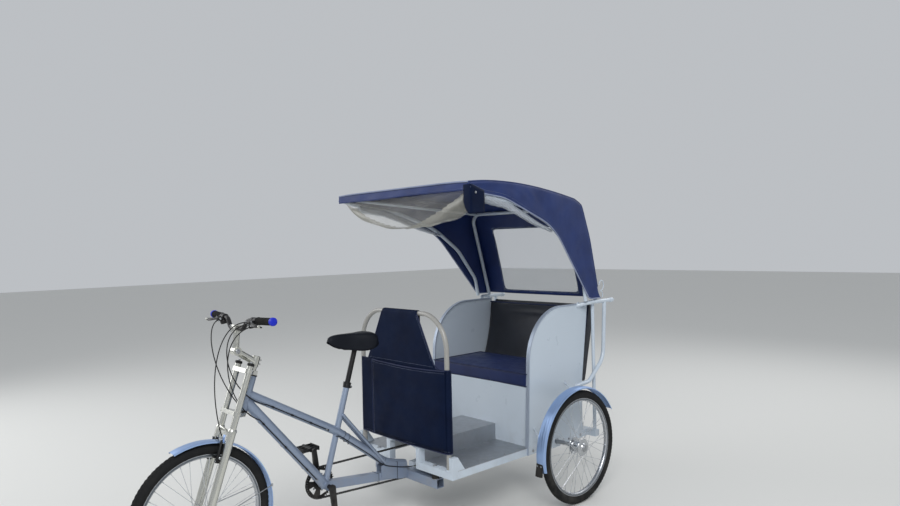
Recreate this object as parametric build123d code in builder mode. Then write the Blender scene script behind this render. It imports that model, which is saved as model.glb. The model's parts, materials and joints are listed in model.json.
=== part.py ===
from build123d import *
from math import cos, radians, sin, sqrt, tan
import os

os.makedirs("parts", exist_ok=True)

# The rickshaw stands on its wheels and faces -Y, with its left side at +X and the ground at Z = 0.
# Fore-and-aft places are given as distances in front of the rear axle.

# Overall stance
WHEELBASE = 2030.0
WHEEL_R = 330.0
HALF_TRACK = 585.0
BAR_BACK = 530.0
AXLE_Y = (WHEELBASE + WHEEL_R - BAR_BACK) / 2

# Clearances
RUN_FIT = 0.05
SEAT_GAP = 0.3

# Wheels
TYRE_R = 25.0
RIM_W = 26.0
RIM_INNER_R = WHEEL_R - 64
RIM_OUTER_R = WHEEL_R - 46
SPOKES = 36
SPOKE_R = 1.4
LACING = 62.0
SPOKE_HOLE_IN = 4.0
NIPPLE_X = 4.0
FLANGE_X = 30.0
FLANGE_HALF = 2.0
FRONT_HUB_R = 19.0
FRONT_FLANGE_R = 32.0
REAR_HUB_R = 34.0
REAR_FLANGE_R = 50.0
REAR_HUB_HALF = 42.0
FRONT_AXLE_R = 8.0
SHAFT_R = 12.0
SHAFT_IN = 2.0
SHAFT_OUT = 45.0
AXLE_HALF = 40.0

# Steering head and fork
HEAD_ANGLE = 71.2
FORK_OFFSET = 50.0
HEAD_LOW = 490.0
HEAD_LENGTH = 170.0
HEAD_R = 25.0
STEERER_R = 15.0
LEG_X = 62.0
UPPER_LEG_R = 15.0
LOWER_LEG_R = 19.0
LOWER_LEG_TOP = WHEEL_R + 65
LEG_TOP = 700.0
CROWN_GAP = 4.0
CROWN_T = 20.0
STEERER_SPACER = 16.0

# Bicycle frame
CRANK_AHEAD = 1378.0
CRANK_Z = 312.0
SHELL_R = 21.0
SHELL_HALF = 36.0
DOWN_TUBE_R = 25.0
DOWN_TUBE_AT = 540.0
TOP_TUBE_R = 22.0
TOP_TUBE_AT = 571.0
TOP_TUBE_ON_SEAT = 274.0
TOP_TUBE_BEND = 260.0
TOP_TUBE_KNEE = (985.0, 338.0)
TOP_TUBE_END_Z = 302.0
SEAT_ANGLE = 73.2
SEAT_TUBE_R = 16.0
SEAT_TUBE_LENGTH = 516.0
SEAT_POST_R = 13.6
POST_SUNK = 110.0
POST_TOP = 748.0
COLLAR_R = 21.0
COLLAR_H = 16.0
SADDLE_LOW = 1040.0
SADDLE_NOSE = 1338.0
SADDLE_TAIL = 1056.0
SADDLE_HALF = 98.0
SADDLE_HALF_PLAN = [
    (0, SADDLE_NOSE),
    (20, SADDLE_NOSE),
    (28, SADDLE_NOSE - 110),
    (62, SADDLE_TAIL + 105),
    (SADDLE_HALF, SADDLE_TAIL + 60),
    (SADDLE_HALF, SADDLE_TAIL + 12),
    (60, SADDLE_TAIL),
    (0, SADDLE_TAIL),
]
SADDLE_SIDE = [
    (SADDLE_NOSE, SADDLE_LOW + 28),
    (SADDLE_NOSE - 11, SADDLE_LOW + 1),
    (1265, SADDLE_LOW - 22),
    (1190, SADDLE_LOW - 52),
    (1131, SADDLE_LOW - 54),
    (1064, SADDLE_LOW - 29),
    (SADDLE_TAIL, SADDLE_LOW + 9),
    (1085, SADDLE_LOW + 34),
    (1125, SADDLE_LOW + 46),
    (1300, SADDLE_LOW + 46),
]
SADDLE_DEPTH = 60.0
SADDLE_PAD = 41.0
SADDLE_SKIRT_T = 6.0
SADDLE_ROUNDING = 9.0
RAIL_R = 3.5
RAIL_X = 16.0
RAIL_FROM_NOSE = 80.0
POST_CLAMP_R = 12.0
POST_CLAMP_REACH = 24.0
POST_CLAMP_DOWN = 14.0
CRADLE = [
    (1186, SADDLE_LOW - 26),
    (1140, SADDLE_LOW - 26),
    (1140, SADDLE_LOW - RAIL_R),
    (1186, SADDLE_LOW - RAIL_R),
]
CRADLE_HALF = 26.0
LOWER_TUBE_W = 40.0
LOWER_TUBE_H = 42.0
LOWER_TUBE_END_Z = 249.0
STAY_R = 8.0
STAY_ON_SEAT = (365.0, 19.0)
STAY_FOOT = (24.0, 1004.0, 344.0)
GUSSET_T = 4.0
GUSSET = [(1030, 268), (1030, 330), (985, 348), (850, 312), (850, 226), (905, 232)]
CROSS_TUBE = 50.0
CROSS_TUBE_WALL = 3.0
CROSS_TUBE_HALF = 275.0
CROSS_TUBE_AHEAD = 825.0
CROSS_TUBE_Z = 245.0
CROSS_BACK = CROSS_TUBE_AHEAD - CROSS_TUBE / 2
CROSS_FRONT = CROSS_TUBE_AHEAD + CROSS_TUBE / 2
MOUNT_X = 250.0
MOUNT_R = 19.0
MOUNT_AHEAD = 838.0

# Drive
CRANK_LENGTH = 167.0
CRANK_TILT = 6.0
CHAIN_X = 50.0
PITCH = 12.7
RING_TEETH = 40
SPROCKET_TEETH = 22
SPROCKET_BOSS = 14.0
TOOTH_H = 7.0
TOOTH_ROOT = 8.4
RING_T = 4.0
WINDOW_AT = 51.0
WINDOW_W = 44.0
WINDOW_H = 26.0
CRANK_AXLE_R = 11.0
ARM_IN = 62.0
ARM_T = 14.0
ARM_ROOT_R = 17.0
ARM_TIP_R = 12.0
SPIDER_R = 30.0
PEDAL_PIN_R = 6.0
ROLLER_R = 24.0
ROLLER_AHEAD = 740.0
ROLLER_Z = 225.0
ROLLER_HALF = 7.0
ROLLER_PIN_R = 7.0
ROLLER_PLATE_HALF = 16.0
CHAIN_GAP = 1.5
CHAIN_T = 9.0
CHAIN_W = 8.0
PEDAL_IN = 92.0
PEDAL_W = 92.0
PEDAL_L = 98.0
PEDAL_T = 24.0

# Cab floor
FLOOR_LOW = 300.0
RAIL = 40.0
RAIL_OUT = 415.0
CAB_FRONT = 862.0
CAB_BACK = 325.0
ARCH_HALF = 147.0
ARCH_TOP = 440.0
ARCH_BAR = 30.0
PLATE_T = 3.0
ARCH_RISE = 14.0
SPINE_W = 40.0
SPINE_LOW = 240.0
SPINE_TOP = 300.0
BEARING_L = 76.0
BEARING_UP = 33.0
REAR_MEMBER_HALF = 475.0
SHAFT_HOLE = 6.0
BRACKET_H = 75.0
BRACKET_L = 90.0

# Cab body
PANEL_T = 6.0
BOX_AHEAD = 250.0
SEAT_TOP = 690.0
CUSHION_T = 90.0
CUSHION_NOSE = 12.0
CUSHION_ROUNDING = 20.0
HOOP_X = 375.0
HOOP_R = 13.5
HOOP_AHEAD = CAB_FRONT - HOOP_R
HOOP_TOP = 1178.0
HOOP_BEND = 190.0
REAR_TUBE_X = 480.0
REAR_TUBE_R = 12.5
BAR_Z = 1157.0
BAR_START = [(RAIL_OUT, -232, BAR_Z - 20), (REAR_TUBE_X, -290, BAR_Z)]
BAR_CURVE = 60.0
BAR_CAP_R = 14.0
BAR_CAP_L = 32.0
LOOP = [(REAR_TUBE_X, -442, BAR_Z), (REAR_TUBE_X, -416, 790), (REAR_TUBE_X, -262, 664), (RAIL_OUT, -206, 632)]
LOOP_BENDS = [140, 30]
POST_R = 11.0
POST_X = REAR_TUBE_X - REAR_TUBE_R - POST_R
TRIM_T = 7.0
TRIM_PROUD = 3.0
TRIM_IN = 14.0
PANEL_TOE = 262.0
PANEL_CORNER = (222.0, 1142.0)
PANEL_BEND = 310.0
PANEL_TAIL = -325.0
PANEL_HEEL = -265.0
PANEL_WAIST = 640.0
CUSHION_IN = 16.0
SEAT_BACK_END = -200.0
BACK_LEAN = [(-265, 650), (-308, 650), (-320, 686), (-357, 842), (-394, 967), (-396, 1135), (-366, 1135)]
BACK_PAD = [(-204, 700), (-274, 700), (-388, 1133), (-300, 1133)]
SCREEN_T = 6.0
POCKET_T = 10.0
POCKET_EDGE = 258.0
SCREEN_HALF = 396.0
SCREEN_FAR = 362.0
SCREEN_LOW = 436.0
POCKET_TOP = 872.0
SCREEN_SHOULDER = (300.0, 875.0)
SCREEN_CREST = (147.0, 1186.0)

# Mudguards
GUARD_W = 76.0
GUARD_R = WHEEL_R + 20
GUARD_T = 2.0
REAR_GUARD_FROM = -12.0
REAR_GUARD_ARC = 162.0
FRONT_GUARD_W = 62.0
FRONT_GUARD_R = WHEEL_R + 13
FRONT_GUARD_FROM = 68.0
FRONT_GUARD_ARC = 124.0
GUARD_LIP = 8.0
GUARD_STAY_R = 4.0
GUARD_STAY_REACH = GUARD_R - 2.5
GUARD_STAYS = (20, 85, 146)
GUARD_STAY_DROP = 46.0
FRONT_STAY_R = 2.5
FRONT_STAY_AT = 168.0
GUARD_TONGUE = (24.0, 20.0)
FLAP_L = 70.0
FLAP_T = 5.0
FLAP_LAP = 6.0

# Canopy
FRONT_HALF = 588.0
KNEE_HALF = 498.0
BASE_HALF = 487.0
CANOPY_T = 4.0
WINDOW_HALF = 320.0
WINDOW_LOW = 1245.0
WINDOW_HIGH = 1600.0
PANE_T = 1.5
PANE_INSET = 2.5
BOW_R = 12.0
BOW_GAP = 2.0
CANOPY_FRONT = 860.0
CANOPY_KNEE = -206.0
CANOPY_BASE = -383.0
ROOF = [(859, 1861), (427, 1872), (-121, 1807), (-206, 1773), (-293, 1562), (-383, 1216)]
HEM = [(-383, 1216), (-232, 1240), (113, 1629), (573, 1782), (745, 1796)]
FRONT_CORNER_FLAP = [(752, 1692), (850, 1698), (859, 1836)]
LINING = [(864, 1857), (427, 1868), (-120, 1803), (-202, 1769), (-289, 1562), (-380.3, 1211)]
SKIRT = [(-377.5, 1224), (-380.5, 1225), (-395.4, 1172), (-391.4, 1172)]
SKIRT_HALF = 455.0
VALANCE = [(859, 1858), (855, 1858), (855, 1776), (859, 1776)]
VALANCE_IN = 2.0
SIDE_BOW = [(-228, 1290), (-75, 1496), (130, 1650), (420, 1752), (700, 1790), (838, 1828)]
SIDE_BOW_BENDS = [120, 300, 500, 500, 300]
FRONT_BOW_RISE = 1839.0
FRONT_BOW_BEND = 900.0
REAR_BOW = (-196.0, 1750.0)
REAR_BOW_HALF = 468.0
SIDE_BOW_FOOT = 474.0
REAR_BOW_BEND = 80.0
ROOF_RAIL_X = (430.0, 500.0)
ROOF_RAIL_R = 9.0
SIDE_BOW_FOOT_AHEAD = -250.0
REAR_BOW_FOOT_AHEAD = -362.0
CURTAIN_HALF = 540.0
CURTAIN_T = 5.0
CURTAIN = [(847, 1812), (835, 1668), (790, 1617), (700, 1645), (600, 1788)]
CURTAIN_BENDS = [60, 60, 80]
ROLL_R = 24.0
ROLL_IN = 30.0
ROLL = [(60, 1575), (288, 1687), (415, 1733), (680, 1782)]
ROLL_BENDS = [300, 500]

# Handlebar and controls
STEM_ELBOW = (WHEELBASE - 184, 1062.0)
BAR_CLAMP = (WHEELBASE - 192, 1168.0)
STEM_R = 15.0
BAR_R = 11.0
BAR_BEND = 35.0
BAR_ROUTE = [(300, WHEELBASE - 218, 1216), (105, WHEELBASE - 198, 1210), (62, WHEELBASE - 192, 1168)]
GRIP_R = 16.5
GRIP_L = 112.0
GRIP_CAP = 3.0
LEVER_CLAMP = 26.0
LEVER_REACH = 25.0
LEVER_L = 92.0
LEVER_GAP = 6.0
LEVER_DROP = 6.0
LEVER_HEAD_R = 9.0
LEVER_R = 6.0
LEVER_SLOPE = 8.0
BRACE_T = 16.0
BRACE_DOWN = 22.0
LEG_FOOT = 14.0
STEM_BASE_H = 46.0
STEM_HALF = 22.0
CLAMP_HALF = 24.0

# Rim brake
BRAKE_FORWARD = FORK_OFFSET + 28
BRAKE_LOW = WHEEL_R - 74
BRAKE_TOP = WHEEL_R + 20
PAD_UP = RIM_OUTER_R - 11
PAD_X = 19.0
PAD_FORWARD = FORK_OFFSET + 18
BRAKE_ARM_X = 44.0
BRAKE_ARM_R = 7.0
PAD_R = 6.0
BOSS_X = (46.0, 56.0)
BOSS_FORWARD = FORK_OFFSET + 12
NOODLE_R = 2.0

# Cables
CABLE_R = 2.5
CABLE_STEPS = 9
CABLE_X = 22.0
CABLE_FIT = 0.5
CABLE_FROM = 120.0
CABLE_STOP = 113.0
TOP_CABLE_STOP = 70.0
BRAKE_PULLS = [(70, WHEELBASE - 70, 1235), (30, WHEELBASE - 20, 960)]
BAR_PULLS = [(60, WHEELBASE - 40, 1200), (40, WHEELBASE - 100, 860)]


def ahead(distance):
    """Y of a place that far in front of the rear axle."""
    return AXLE_Y - distance


def spot(left, forward, up):
    """Point given as left of the centre line, ahead of the rear axle and above the ground."""
    return (left, ahead(forward), up)


def facing(start, end):
    """Plane at the start whose normal points at the end."""
    return Plane(origin=start, z_dir=Vector(end) - Vector(start))


def rod(start, end, radius, bore=0.0):
    """Round bar, or tube with a bore, from start to end."""
    with BuildPart() as bar:
        with BuildSketch(facing(start, end)):
            Circle(radius)
            if bore:
                Circle(bore, mode=Mode.SUBTRACT)
        extrude(amount=(Vector(end) - Vector(start)).length)
    return bar.part


def bent_tube(points, radii, radius):
    """Round tube along straight runs joined by tangent arcs."""
    with BuildPart() as tube:
        with BuildLine() as path:
            FilletPolyline(*points, radius=radii)
        with BuildSketch(Plane(origin=path.line @ 0, z_dir=path.line % 0)):
            Circle(radius)
        sweep()
    return tube.part


def block(low, high):
    """Box between two corners."""
    size = [abs(b - a) for a, b in zip(low, high)]
    middle = tuple((a + b) / 2 for a, b in zip(low, high))
    with BuildPart() as made:
        with Locations(middle):
            Box(*size)
    return made.part


def side_points(pairs):
    """Side-view pairs of ahead and up, as sketch points."""
    return [(ahead(forward), up) for forward, up in pairs]


def side_prism(pairs, inner_x, outer_x):
    """Side profile stretched between two X places."""
    with BuildPart() as made:
        with BuildSketch(Plane.YZ.offset(inner_x)):
            with BuildLine():
                Polyline(side_points(pairs), close=True)
            make_face()
        extrude(amount=outer_x - inner_x)
    return made.part


def front_plane(forward):
    """Upright plane across the vehicle; an extrusion with a minus sign goes backwards from it."""
    return Plane.XZ.offset(-ahead(forward))


def radial_plane(centre, angle):
    """Plane through a wheel's axis: local X is the axis, local Y points out at this angle.

    The angle is counted from straight ahead, up over the top.
    """
    turn = radians(angle)
    return Plane(origin=centre, x_dir=(1, 0, 0), z_dir=(0, -sin(turn), -cos(turn)))


FRONT_HUB = spot(0, WHEELBASE, WHEEL_R)
CRANK_CENTRE = spot(0, CRANK_AHEAD, CRANK_Z)
HEAD_TOP = HEAD_LOW + HEAD_LENGTH
HEAD_COS = cos(radians(HEAD_ANGLE))
HEAD_SIN = sin(radians(HEAD_ANGLE))
SEAT_COS = cos(radians(SEAT_ANGLE))
SEAT_SIN = sin(radians(SEAT_ANGLE))
STEER = Plane(
    origin=spot(0, WHEELBASE - FORK_OFFSET * HEAD_SIN, WHEEL_R - FORK_OFFSET * HEAD_COS),
    x_dir=(1, 0, 0),
    z_dir=(0, HEAD_COS, HEAD_SIN),
)


def on_steer(left, forward, up):
    """Point given along the steering axis, and forward of it at a right angle."""
    return STEER.from_local_coords((left, -forward, up))


def on_seat(along, left=0.0, back=0.0):
    """Point along the seat tube's axis from the crank centre."""
    forward = CRANK_AHEAD - along * SEAT_COS - back * SEAT_SIN
    return spot(left, forward, CRANK_Z + along * SEAT_SIN - back * SEAT_COS)


def save(piece, name):
    """Label a finished piece and write it."""
    piece.part.label = name
    export_step(piece.part, f"parts/{name}.step")


# Wheels

with BuildPart() as tyre:
    with BuildSketch(Plane.XY):
        with Locations((0, WHEEL_R - TYRE_R)):
            Circle(TYRE_R)
    revolve(axis=Axis.X)


def wire_wheel(hub_r, flange_r, flange_x, hub_half, bore):
    """Rim, flanged hub and crossed spokes as one piece, centred on its axle along X."""
    spokes = []
    for number in range(SPOKES):
        side = 1 if number % 2 else -1
        lean = 1 if (number // 2) % 2 else -1
        rim_turn = radians(360 * number / SPOKES)
        hub_turn = rim_turn + lean * radians(LACING)
        hub_x = side * (flange_x + lean * SPOKE_R)
        hole_r = flange_r - SPOKE_HOLE_IN
        start = (hub_x, hole_r * cos(hub_turn), hole_r * sin(hub_turn))
        reach = RIM_INNER_R + 2
        end = (side * NIPPLE_X, reach * cos(rim_turn), reach * sin(rim_turn))
        spokes.append(rod(start, end, SPOKE_R))
    end_r = max(hub_r * 0.7, bore + 3)
    half = [
        (0, bore),
        (hub_half, bore),
        (hub_half, end_r),
        (flange_x + 2 * FLANGE_HALF, end_r),
        (flange_x + FLANGE_HALF, flange_r),
        (flange_x - FLANGE_HALF, flange_r),
        (flange_x - 2 * FLANGE_HALF, hub_r),
        (0, hub_r),
    ]
    with BuildPart() as made:
        with BuildSketch(Plane.XY):
            with Locations((0, (RIM_INNER_R + RIM_OUTER_R) / 2)):
                Rectangle(RIM_W, RIM_OUTER_R - RIM_INNER_R)
        revolve(axis=Axis.X)
        add(tyre.part, mode=Mode.SUBTRACT)
        with BuildSketch(Plane.XY):
            with BuildLine():
                Polyline(half, close=True)
            make_face()
            mirror(about=Plane.YZ)
        revolve(axis=Axis.X)
        add(spokes)
    return made.part


def chain_wheel(radius, teeth, bore, windows=0):
    """Toothed disc square to X, centred on the origin, with windows between its spider's arms."""
    root = radius - TOOTH_H
    with BuildPart() as made:
        with BuildSketch(Plane.YZ.offset(-RING_T / 2)):
            Circle(root)
            with PolarLocations(root + TOOTH_H / 2 - 0.5, teeth):
                Trapezoid(TOOTH_ROOT, TOOTH_H + 1, 70, rotation=-90)
            if windows:
                with PolarLocations(WINDOW_AT, windows):
                    Trapezoid(WINDOW_W, WINDOW_H, 68, rotation=90, mode=Mode.SUBTRACT)
            Circle(bore, mode=Mode.SUBTRACT)
        extrude(amount=RING_T)
    return made.part


SPROCKET_R = PITCH / (2 * sin(radians(180 / SPROCKET_TEETH))) + 3
RING_R = PITCH / (2 * sin(radians(180 / RING_TEETH))) + 3

front_wheel_shape = wire_wheel(FRONT_HUB_R, FRONT_FLANGE_R, FLANGE_X, AXLE_HALF, FRONT_AXLE_R + RUN_FIT)
rear_wheel_shape = wire_wheel(REAR_HUB_R, REAR_FLANGE_R, FLANGE_X, REAR_HUB_HALF, SHAFT_R)
sprocket = chain_wheel(SPROCKET_R, SPROCKET_TEETH, SHAFT_R - 1)
ring = chain_wheel(RING_R, RING_TEETH, CRANK_AXLE_R - 1, windows=5)

with BuildPart() as front_tyre:
    with Locations(FRONT_HUB):
        add(tyre.part)
save(front_tyre, "front_tyre")

with BuildPart() as front_wheel:
    with Locations(FRONT_HUB):
        add(front_wheel_shape)
save(front_wheel, "front_wheel")

# Rear wheels, each fixed to its own half shaft; the right shaft carries the chain sprocket

for name, side in (("left", 1), ("right", -1)):
    hub = spot(side * HALF_TRACK, 0, WHEEL_R)
    with BuildPart() as rear_tyre:
        with Locations(hub):
            add(tyre.part)
    save(rear_tyre, f"rear_tyre_{name}")
    with BuildPart() as rear_wheel:
        with Locations(hub):
            add(rear_wheel_shape)
    save(rear_wheel, f"rear_wheel_{name}")
    with BuildPart() as half_shaft:
        shaft_end = spot(side * (HALF_TRACK + SHAFT_OUT), 0, WHEEL_R)
        add(rod(spot(side * SHAFT_IN, 0, WHEEL_R), shaft_end, SHAFT_R))
        if side < 0:
            with Locations(spot(-CHAIN_X, 0, WHEEL_R)):
                add(sprocket)
            boss_ends = [spot(x, 0, WHEEL_R) for x in (-CHAIN_X - SPROCKET_BOSS, -CHAIN_X + SPROCKET_BOSS)]
            add(rod(*boss_ends, SHAFT_R + 8))
    save(half_shaft, f"half_shaft_{name}")

# Bicycle frame

head_line = (on_steer(0, 0, HEAD_LOW), on_steer(0, 0, HEAD_TOP))
head_envelope = rod(*head_line, HEAD_R)
shell_line = (spot(-SHELL_HALF, CRANK_AHEAD, CRANK_Z), spot(SHELL_HALF, CRANK_AHEAD, CRANK_Z))
shell_envelope = rod(*shell_line, SHELL_R)

with BuildPart() as head_tube:
    add(rod(*head_line, HEAD_R, STEERER_R + RUN_FIT))
save(head_tube, "head_tube")

with BuildPart() as bottom_shell:
    add(rod(*shell_line, SHELL_R, CRANK_AXLE_R + RUN_FIT))
save(bottom_shell, "bottom_shell")

top_tube_points = [
    on_steer(0, 0, TOP_TUBE_AT),
    on_seat(TOP_TUBE_ON_SEAT),
    spot(0, *TOP_TUBE_KNEE),
    spot(0, CROSS_FRONT, TOP_TUBE_END_Z),
]
top_tube_solid = bent_tube(top_tube_points, [TOP_TUBE_BEND, TOP_TUBE_BEND], TOP_TUBE_R)
down_tube_solid = rod(on_steer(0, 0, DOWN_TUBE_AT), CRANK_CENTRE, DOWN_TUBE_R)
seat_tube_solid = rod(on_seat(0), on_seat(SEAT_TUBE_LENGTH), SEAT_TUBE_R)

with BuildPart() as top_tube:
    add(top_tube_solid)
    add(head_envelope, mode=Mode.SUBTRACT)
save(top_tube, "top_tube")

with BuildPart() as down_tube:
    add(down_tube_solid)
    add(head_envelope, mode=Mode.SUBTRACT)
    add(shell_envelope, mode=Mode.SUBTRACT)
    add(top_tube_solid, mode=Mode.SUBTRACT)
save(down_tube, "down_tube")

with BuildPart() as seat_tube:
    add(seat_tube_solid)
    post_bore = rod(on_seat(SEAT_TUBE_LENGTH - POST_SUNK), on_seat(SEAT_TUBE_LENGTH), SEAT_POST_R)
    add(post_bore, mode=Mode.SUBTRACT)
    add(shell_envelope, mode=Mode.SUBTRACT)
    add(top_tube_solid, mode=Mode.SUBTRACT)
    add(down_tube_solid, mode=Mode.SUBTRACT)
save(seat_tube, "seat_tube")

RAIL_Z = SADDLE_LOW - RAIL_R
with BuildPart() as seat_post:
    add(rod(on_seat(SEAT_TUBE_LENGTH - POST_SUNK), on_seat(POST_TOP), SEAT_POST_R))
    add(rod(on_seat(SEAT_TUBE_LENGTH), on_seat(SEAT_TUBE_LENGTH + COLLAR_H), COLLAR_R))
    clamp_at = POST_TOP - POST_CLAMP_DOWN
    add(rod(on_seat(clamp_at, -POST_CLAMP_REACH), on_seat(clamp_at, POST_CLAMP_REACH), POST_CLAMP_R))
    for side in (1, -1):
        rail_nose = spot(side * RAIL_X, SADDLE_NOSE - RAIL_FROM_NOSE, RAIL_Z)
        add(rod(spot(side * RAIL_X, SADDLE_TAIL + 40, RAIL_Z), rail_nose, RAIL_R))
    add(side_prism(CRADLE, -CRADLE_HALF, CRADLE_HALF))
save(seat_post, "seat_post")


def saddle_plan(inset):
    """Plan of the saddle, drawn in from its edge by the inset."""
    with BuildSketch() as plan:
        with BuildLine():
            Polyline([(left, ahead(forward)) for left, forward in SADDLE_HALF_PLAN], close=True)
        make_face()
        mirror(about=Plane.YZ)
        if inset:
            offset(amount=-inset)
    return plan.sketch


with BuildPart() as saddle:
    with BuildSketch(Plane.XY.offset(SADDLE_LOW - SADDLE_DEPTH)):
        add(saddle_plan(0))
    extrude(amount=SADDLE_DEPTH + SADDLE_PAD)
    fillet(faces().sort_by(Axis.Z)[-1].edges(), radius=SADDLE_ROUNDING)
    add(side_prism(SADDLE_SIDE, -SADDLE_HALF, SADDLE_HALF), mode=Mode.INTERSECT)
    with BuildSketch(Plane.XY.offset(SADDLE_LOW - SADDLE_DEPTH)):
        add(saddle_plan(SADDLE_SKIRT_T))
    extrude(amount=SADDLE_DEPTH, mode=Mode.SUBTRACT)
save(saddle, "saddle")

# Lower tube from the crank to the cross tube, with the plates that join it to the top tube

cross_low = CROSS_TUBE_Z - CROSS_TUBE / 2
cross_high = CROSS_TUBE_Z + CROSS_TUBE / 2
cross_envelope = block(
    spot(-CROSS_TUBE_HALF, CROSS_FRONT, cross_low),
    spot(CROSS_TUBE_HALF, CROSS_BACK, cross_high),
)
lower_end = spot(0, CROSS_TUBE_AHEAD, LOWER_TUBE_END_Z)
lower_run = Vector(lower_end) - Vector(CRANK_CENTRE)
with BuildPart() as lower_tube:
    with BuildSketch(Plane(origin=CRANK_CENTRE, x_dir=(1, 0, 0), z_dir=lower_run)):
        Rectangle(LOWER_TUBE_W, LOWER_TUBE_H)
    extrude(amount=lower_run.length)
    for side in (1, -1):
        add(side_prism(GUSSET, side * LOWER_TUBE_W / 2, side * (LOWER_TUBE_W / 2 + GUSSET_T)))
    add(shell_envelope, mode=Mode.SUBTRACT)
    add(cross_envelope, mode=Mode.SUBTRACT)
    add(down_tube_solid, mode=Mode.SUBTRACT)
    add(seat_tube_solid, mode=Mode.SUBTRACT)
    add(top_tube_solid, mode=Mode.SUBTRACT)
save(lower_tube, "lower_tube")

hollow = CROSS_TUBE / 2 - CROSS_TUBE_WALL
with BuildPart() as cross_tube:
    add(cross_envelope)
    add(block(spot(-CROSS_TUBE_HALF, CROSS_TUBE_AHEAD + hollow, CROSS_TUBE_Z - hollow),
              spot(CROSS_TUBE_HALF, CROSS_TUBE_AHEAD - hollow, CROSS_TUBE_Z + hollow)), mode=Mode.SUBTRACT)
save(cross_tube, "cross_tube")

with BuildPart() as seat_stays:
    for side in (1, -1):
        stay_top = on_seat(STAY_ON_SEAT[0], side * STAY_ON_SEAT[1])
        add(rod(stay_top, spot(side * STAY_FOOT[0], *STAY_FOOT[1:]), STAY_R))
    add(seat_tube_solid, mode=Mode.SUBTRACT)
    add(top_tube_solid, mode=Mode.SUBTRACT)
    add(lower_tube.part, mode=Mode.SUBTRACT)
save(seat_stays, "seat_stays")

with BuildPart() as rubber_mounts:
    for side in (1, -1):
        mount_foot = spot(side * MOUNT_X, MOUNT_AHEAD, cross_high)
        add(rod(mount_foot, spot(side * MOUNT_X, MOUNT_AHEAD, FLOOR_LOW), MOUNT_R))
save(rubber_mounts, "rubber_mounts")

# Crank set and pedals

tilt = radians(CRANK_TILT)


def pedal_centre(side):
    """Crank end seen from the side: the left crank hangs down and the right one stands up."""
    return (CRANK_AHEAD - side * CRANK_LENGTH * sin(tilt), CRANK_Z - side * CRANK_LENGTH * cos(tilt))


with BuildPart() as crank_set:
    reach = ARM_IN + ARM_T
    add(rod(spot(-reach, CRANK_AHEAD, CRANK_Z), spot(reach, CRANK_AHEAD, CRANK_Z), CRANK_AXLE_R))
    for side in (1, -1):
        forward, up = pedal_centre(side)
        with BuildSketch(Plane.YZ.offset(side * ARM_IN)):
            with Locations((ahead(CRANK_AHEAD), CRANK_Z)):
                Circle(ARM_ROOT_R)
            with Locations((ahead(forward), up)):
                Circle(ARM_TIP_R)
            make_hull()
        extrude(amount=side * ARM_T)
        pin_end = spot(side * (PEDAL_IN + PEDAL_W), forward, up)
        add(rod(spot(side * ARM_IN, forward, up), pin_end, PEDAL_PIN_R))
    with Locations(spot(-CHAIN_X, CRANK_AHEAD, CRANK_Z)):
        add(ring)
    add(rod(spot(-CHAIN_X, CRANK_AHEAD, CRANK_Z), spot(-ARM_IN - 1, CRANK_AHEAD, CRANK_Z), SPIDER_R))
save(crank_set, "crank_set")

for name, side in (("left", 1), ("right", -1)):
    forward, up = pedal_centre(side)
    near = spot(side * PEDAL_IN, forward, up)
    far = spot(side * (PEDAL_IN + PEDAL_W), forward, up)
    with BuildPart() as pedal:
        with Locations(spot(side * (PEDAL_IN + PEDAL_W / 2), forward, up)):
            Box(PEDAL_W, PEDAL_L, PEDAL_T)
            with GridLocations(0, PEDAL_L / 2 + 2, 1, 2):
                Box(PEDAL_W - 20, PEDAL_L / 2 - 22, PEDAL_T, mode=Mode.SUBTRACT)
        add(rod(near, far, PEDAL_PIN_R + RUN_FIT), mode=Mode.SUBTRACT)
    save(pedal, f"pedal_{name}")

# Chain and its guide roller


def chain_outline(grow):
    """Loop round the crank's ring, the rear sprocket and the guide roller, in the side view."""
    with BuildSketch() as loop:
        with Locations((ahead(CRANK_AHEAD), CRANK_Z)):
            Circle(RING_R + CHAIN_GAP + grow)
        with Locations((ahead(0), WHEEL_R)):
            Circle(SPROCKET_R + CHAIN_GAP + grow)
        with Locations((ahead(ROLLER_AHEAD), ROLLER_Z)):
            Circle(ROLLER_R + CHAIN_GAP + grow)
        make_hull()
    return loop.sketch


with BuildPart() as chain:
    with BuildSketch(Plane.YZ.offset(-CHAIN_X - CHAIN_W / 2)):
        add(chain_outline(CHAIN_T))
        add(chain_outline(0), mode=Mode.SUBTRACT)
    extrude(amount=CHAIN_W)
save(chain, "chain")

with BuildPart() as guide_roller:
    outer_x = -CHAIN_X - ROLLER_HALF
    plate_x = -SPINE_W / 2 - PLATE_T
    inner_x = outer_x + 2 * ROLLER_HALF
    add(rod(spot(outer_x, ROLLER_AHEAD, ROLLER_Z), spot(inner_x, ROLLER_AHEAD, ROLLER_Z), ROLLER_R))
    add(rod(spot(outer_x - 5, ROLLER_AHEAD, ROLLER_Z), spot(plate_x, ROLLER_AHEAD, ROLLER_Z), ROLLER_PIN_R))
    plate_corner = spot(plate_x, ROLLER_AHEAD + ROLLER_PLATE_HALF, ROLLER_Z - 2 * ROLLER_PIN_R)
    add(block(plate_corner, spot(-SPINE_W / 2, ROLLER_AHEAD - ROLLER_PLATE_HALF, SPINE_TOP)))
save(guide_roller, "guide_roller")

# Axle bearings and cab floor frame

FLOOR_TOP = FLOOR_LOW + RAIL
RAIL_IN = RAIL_OUT - RAIL
BEARING_TOP = WHEEL_R + BEARING_UP

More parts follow.
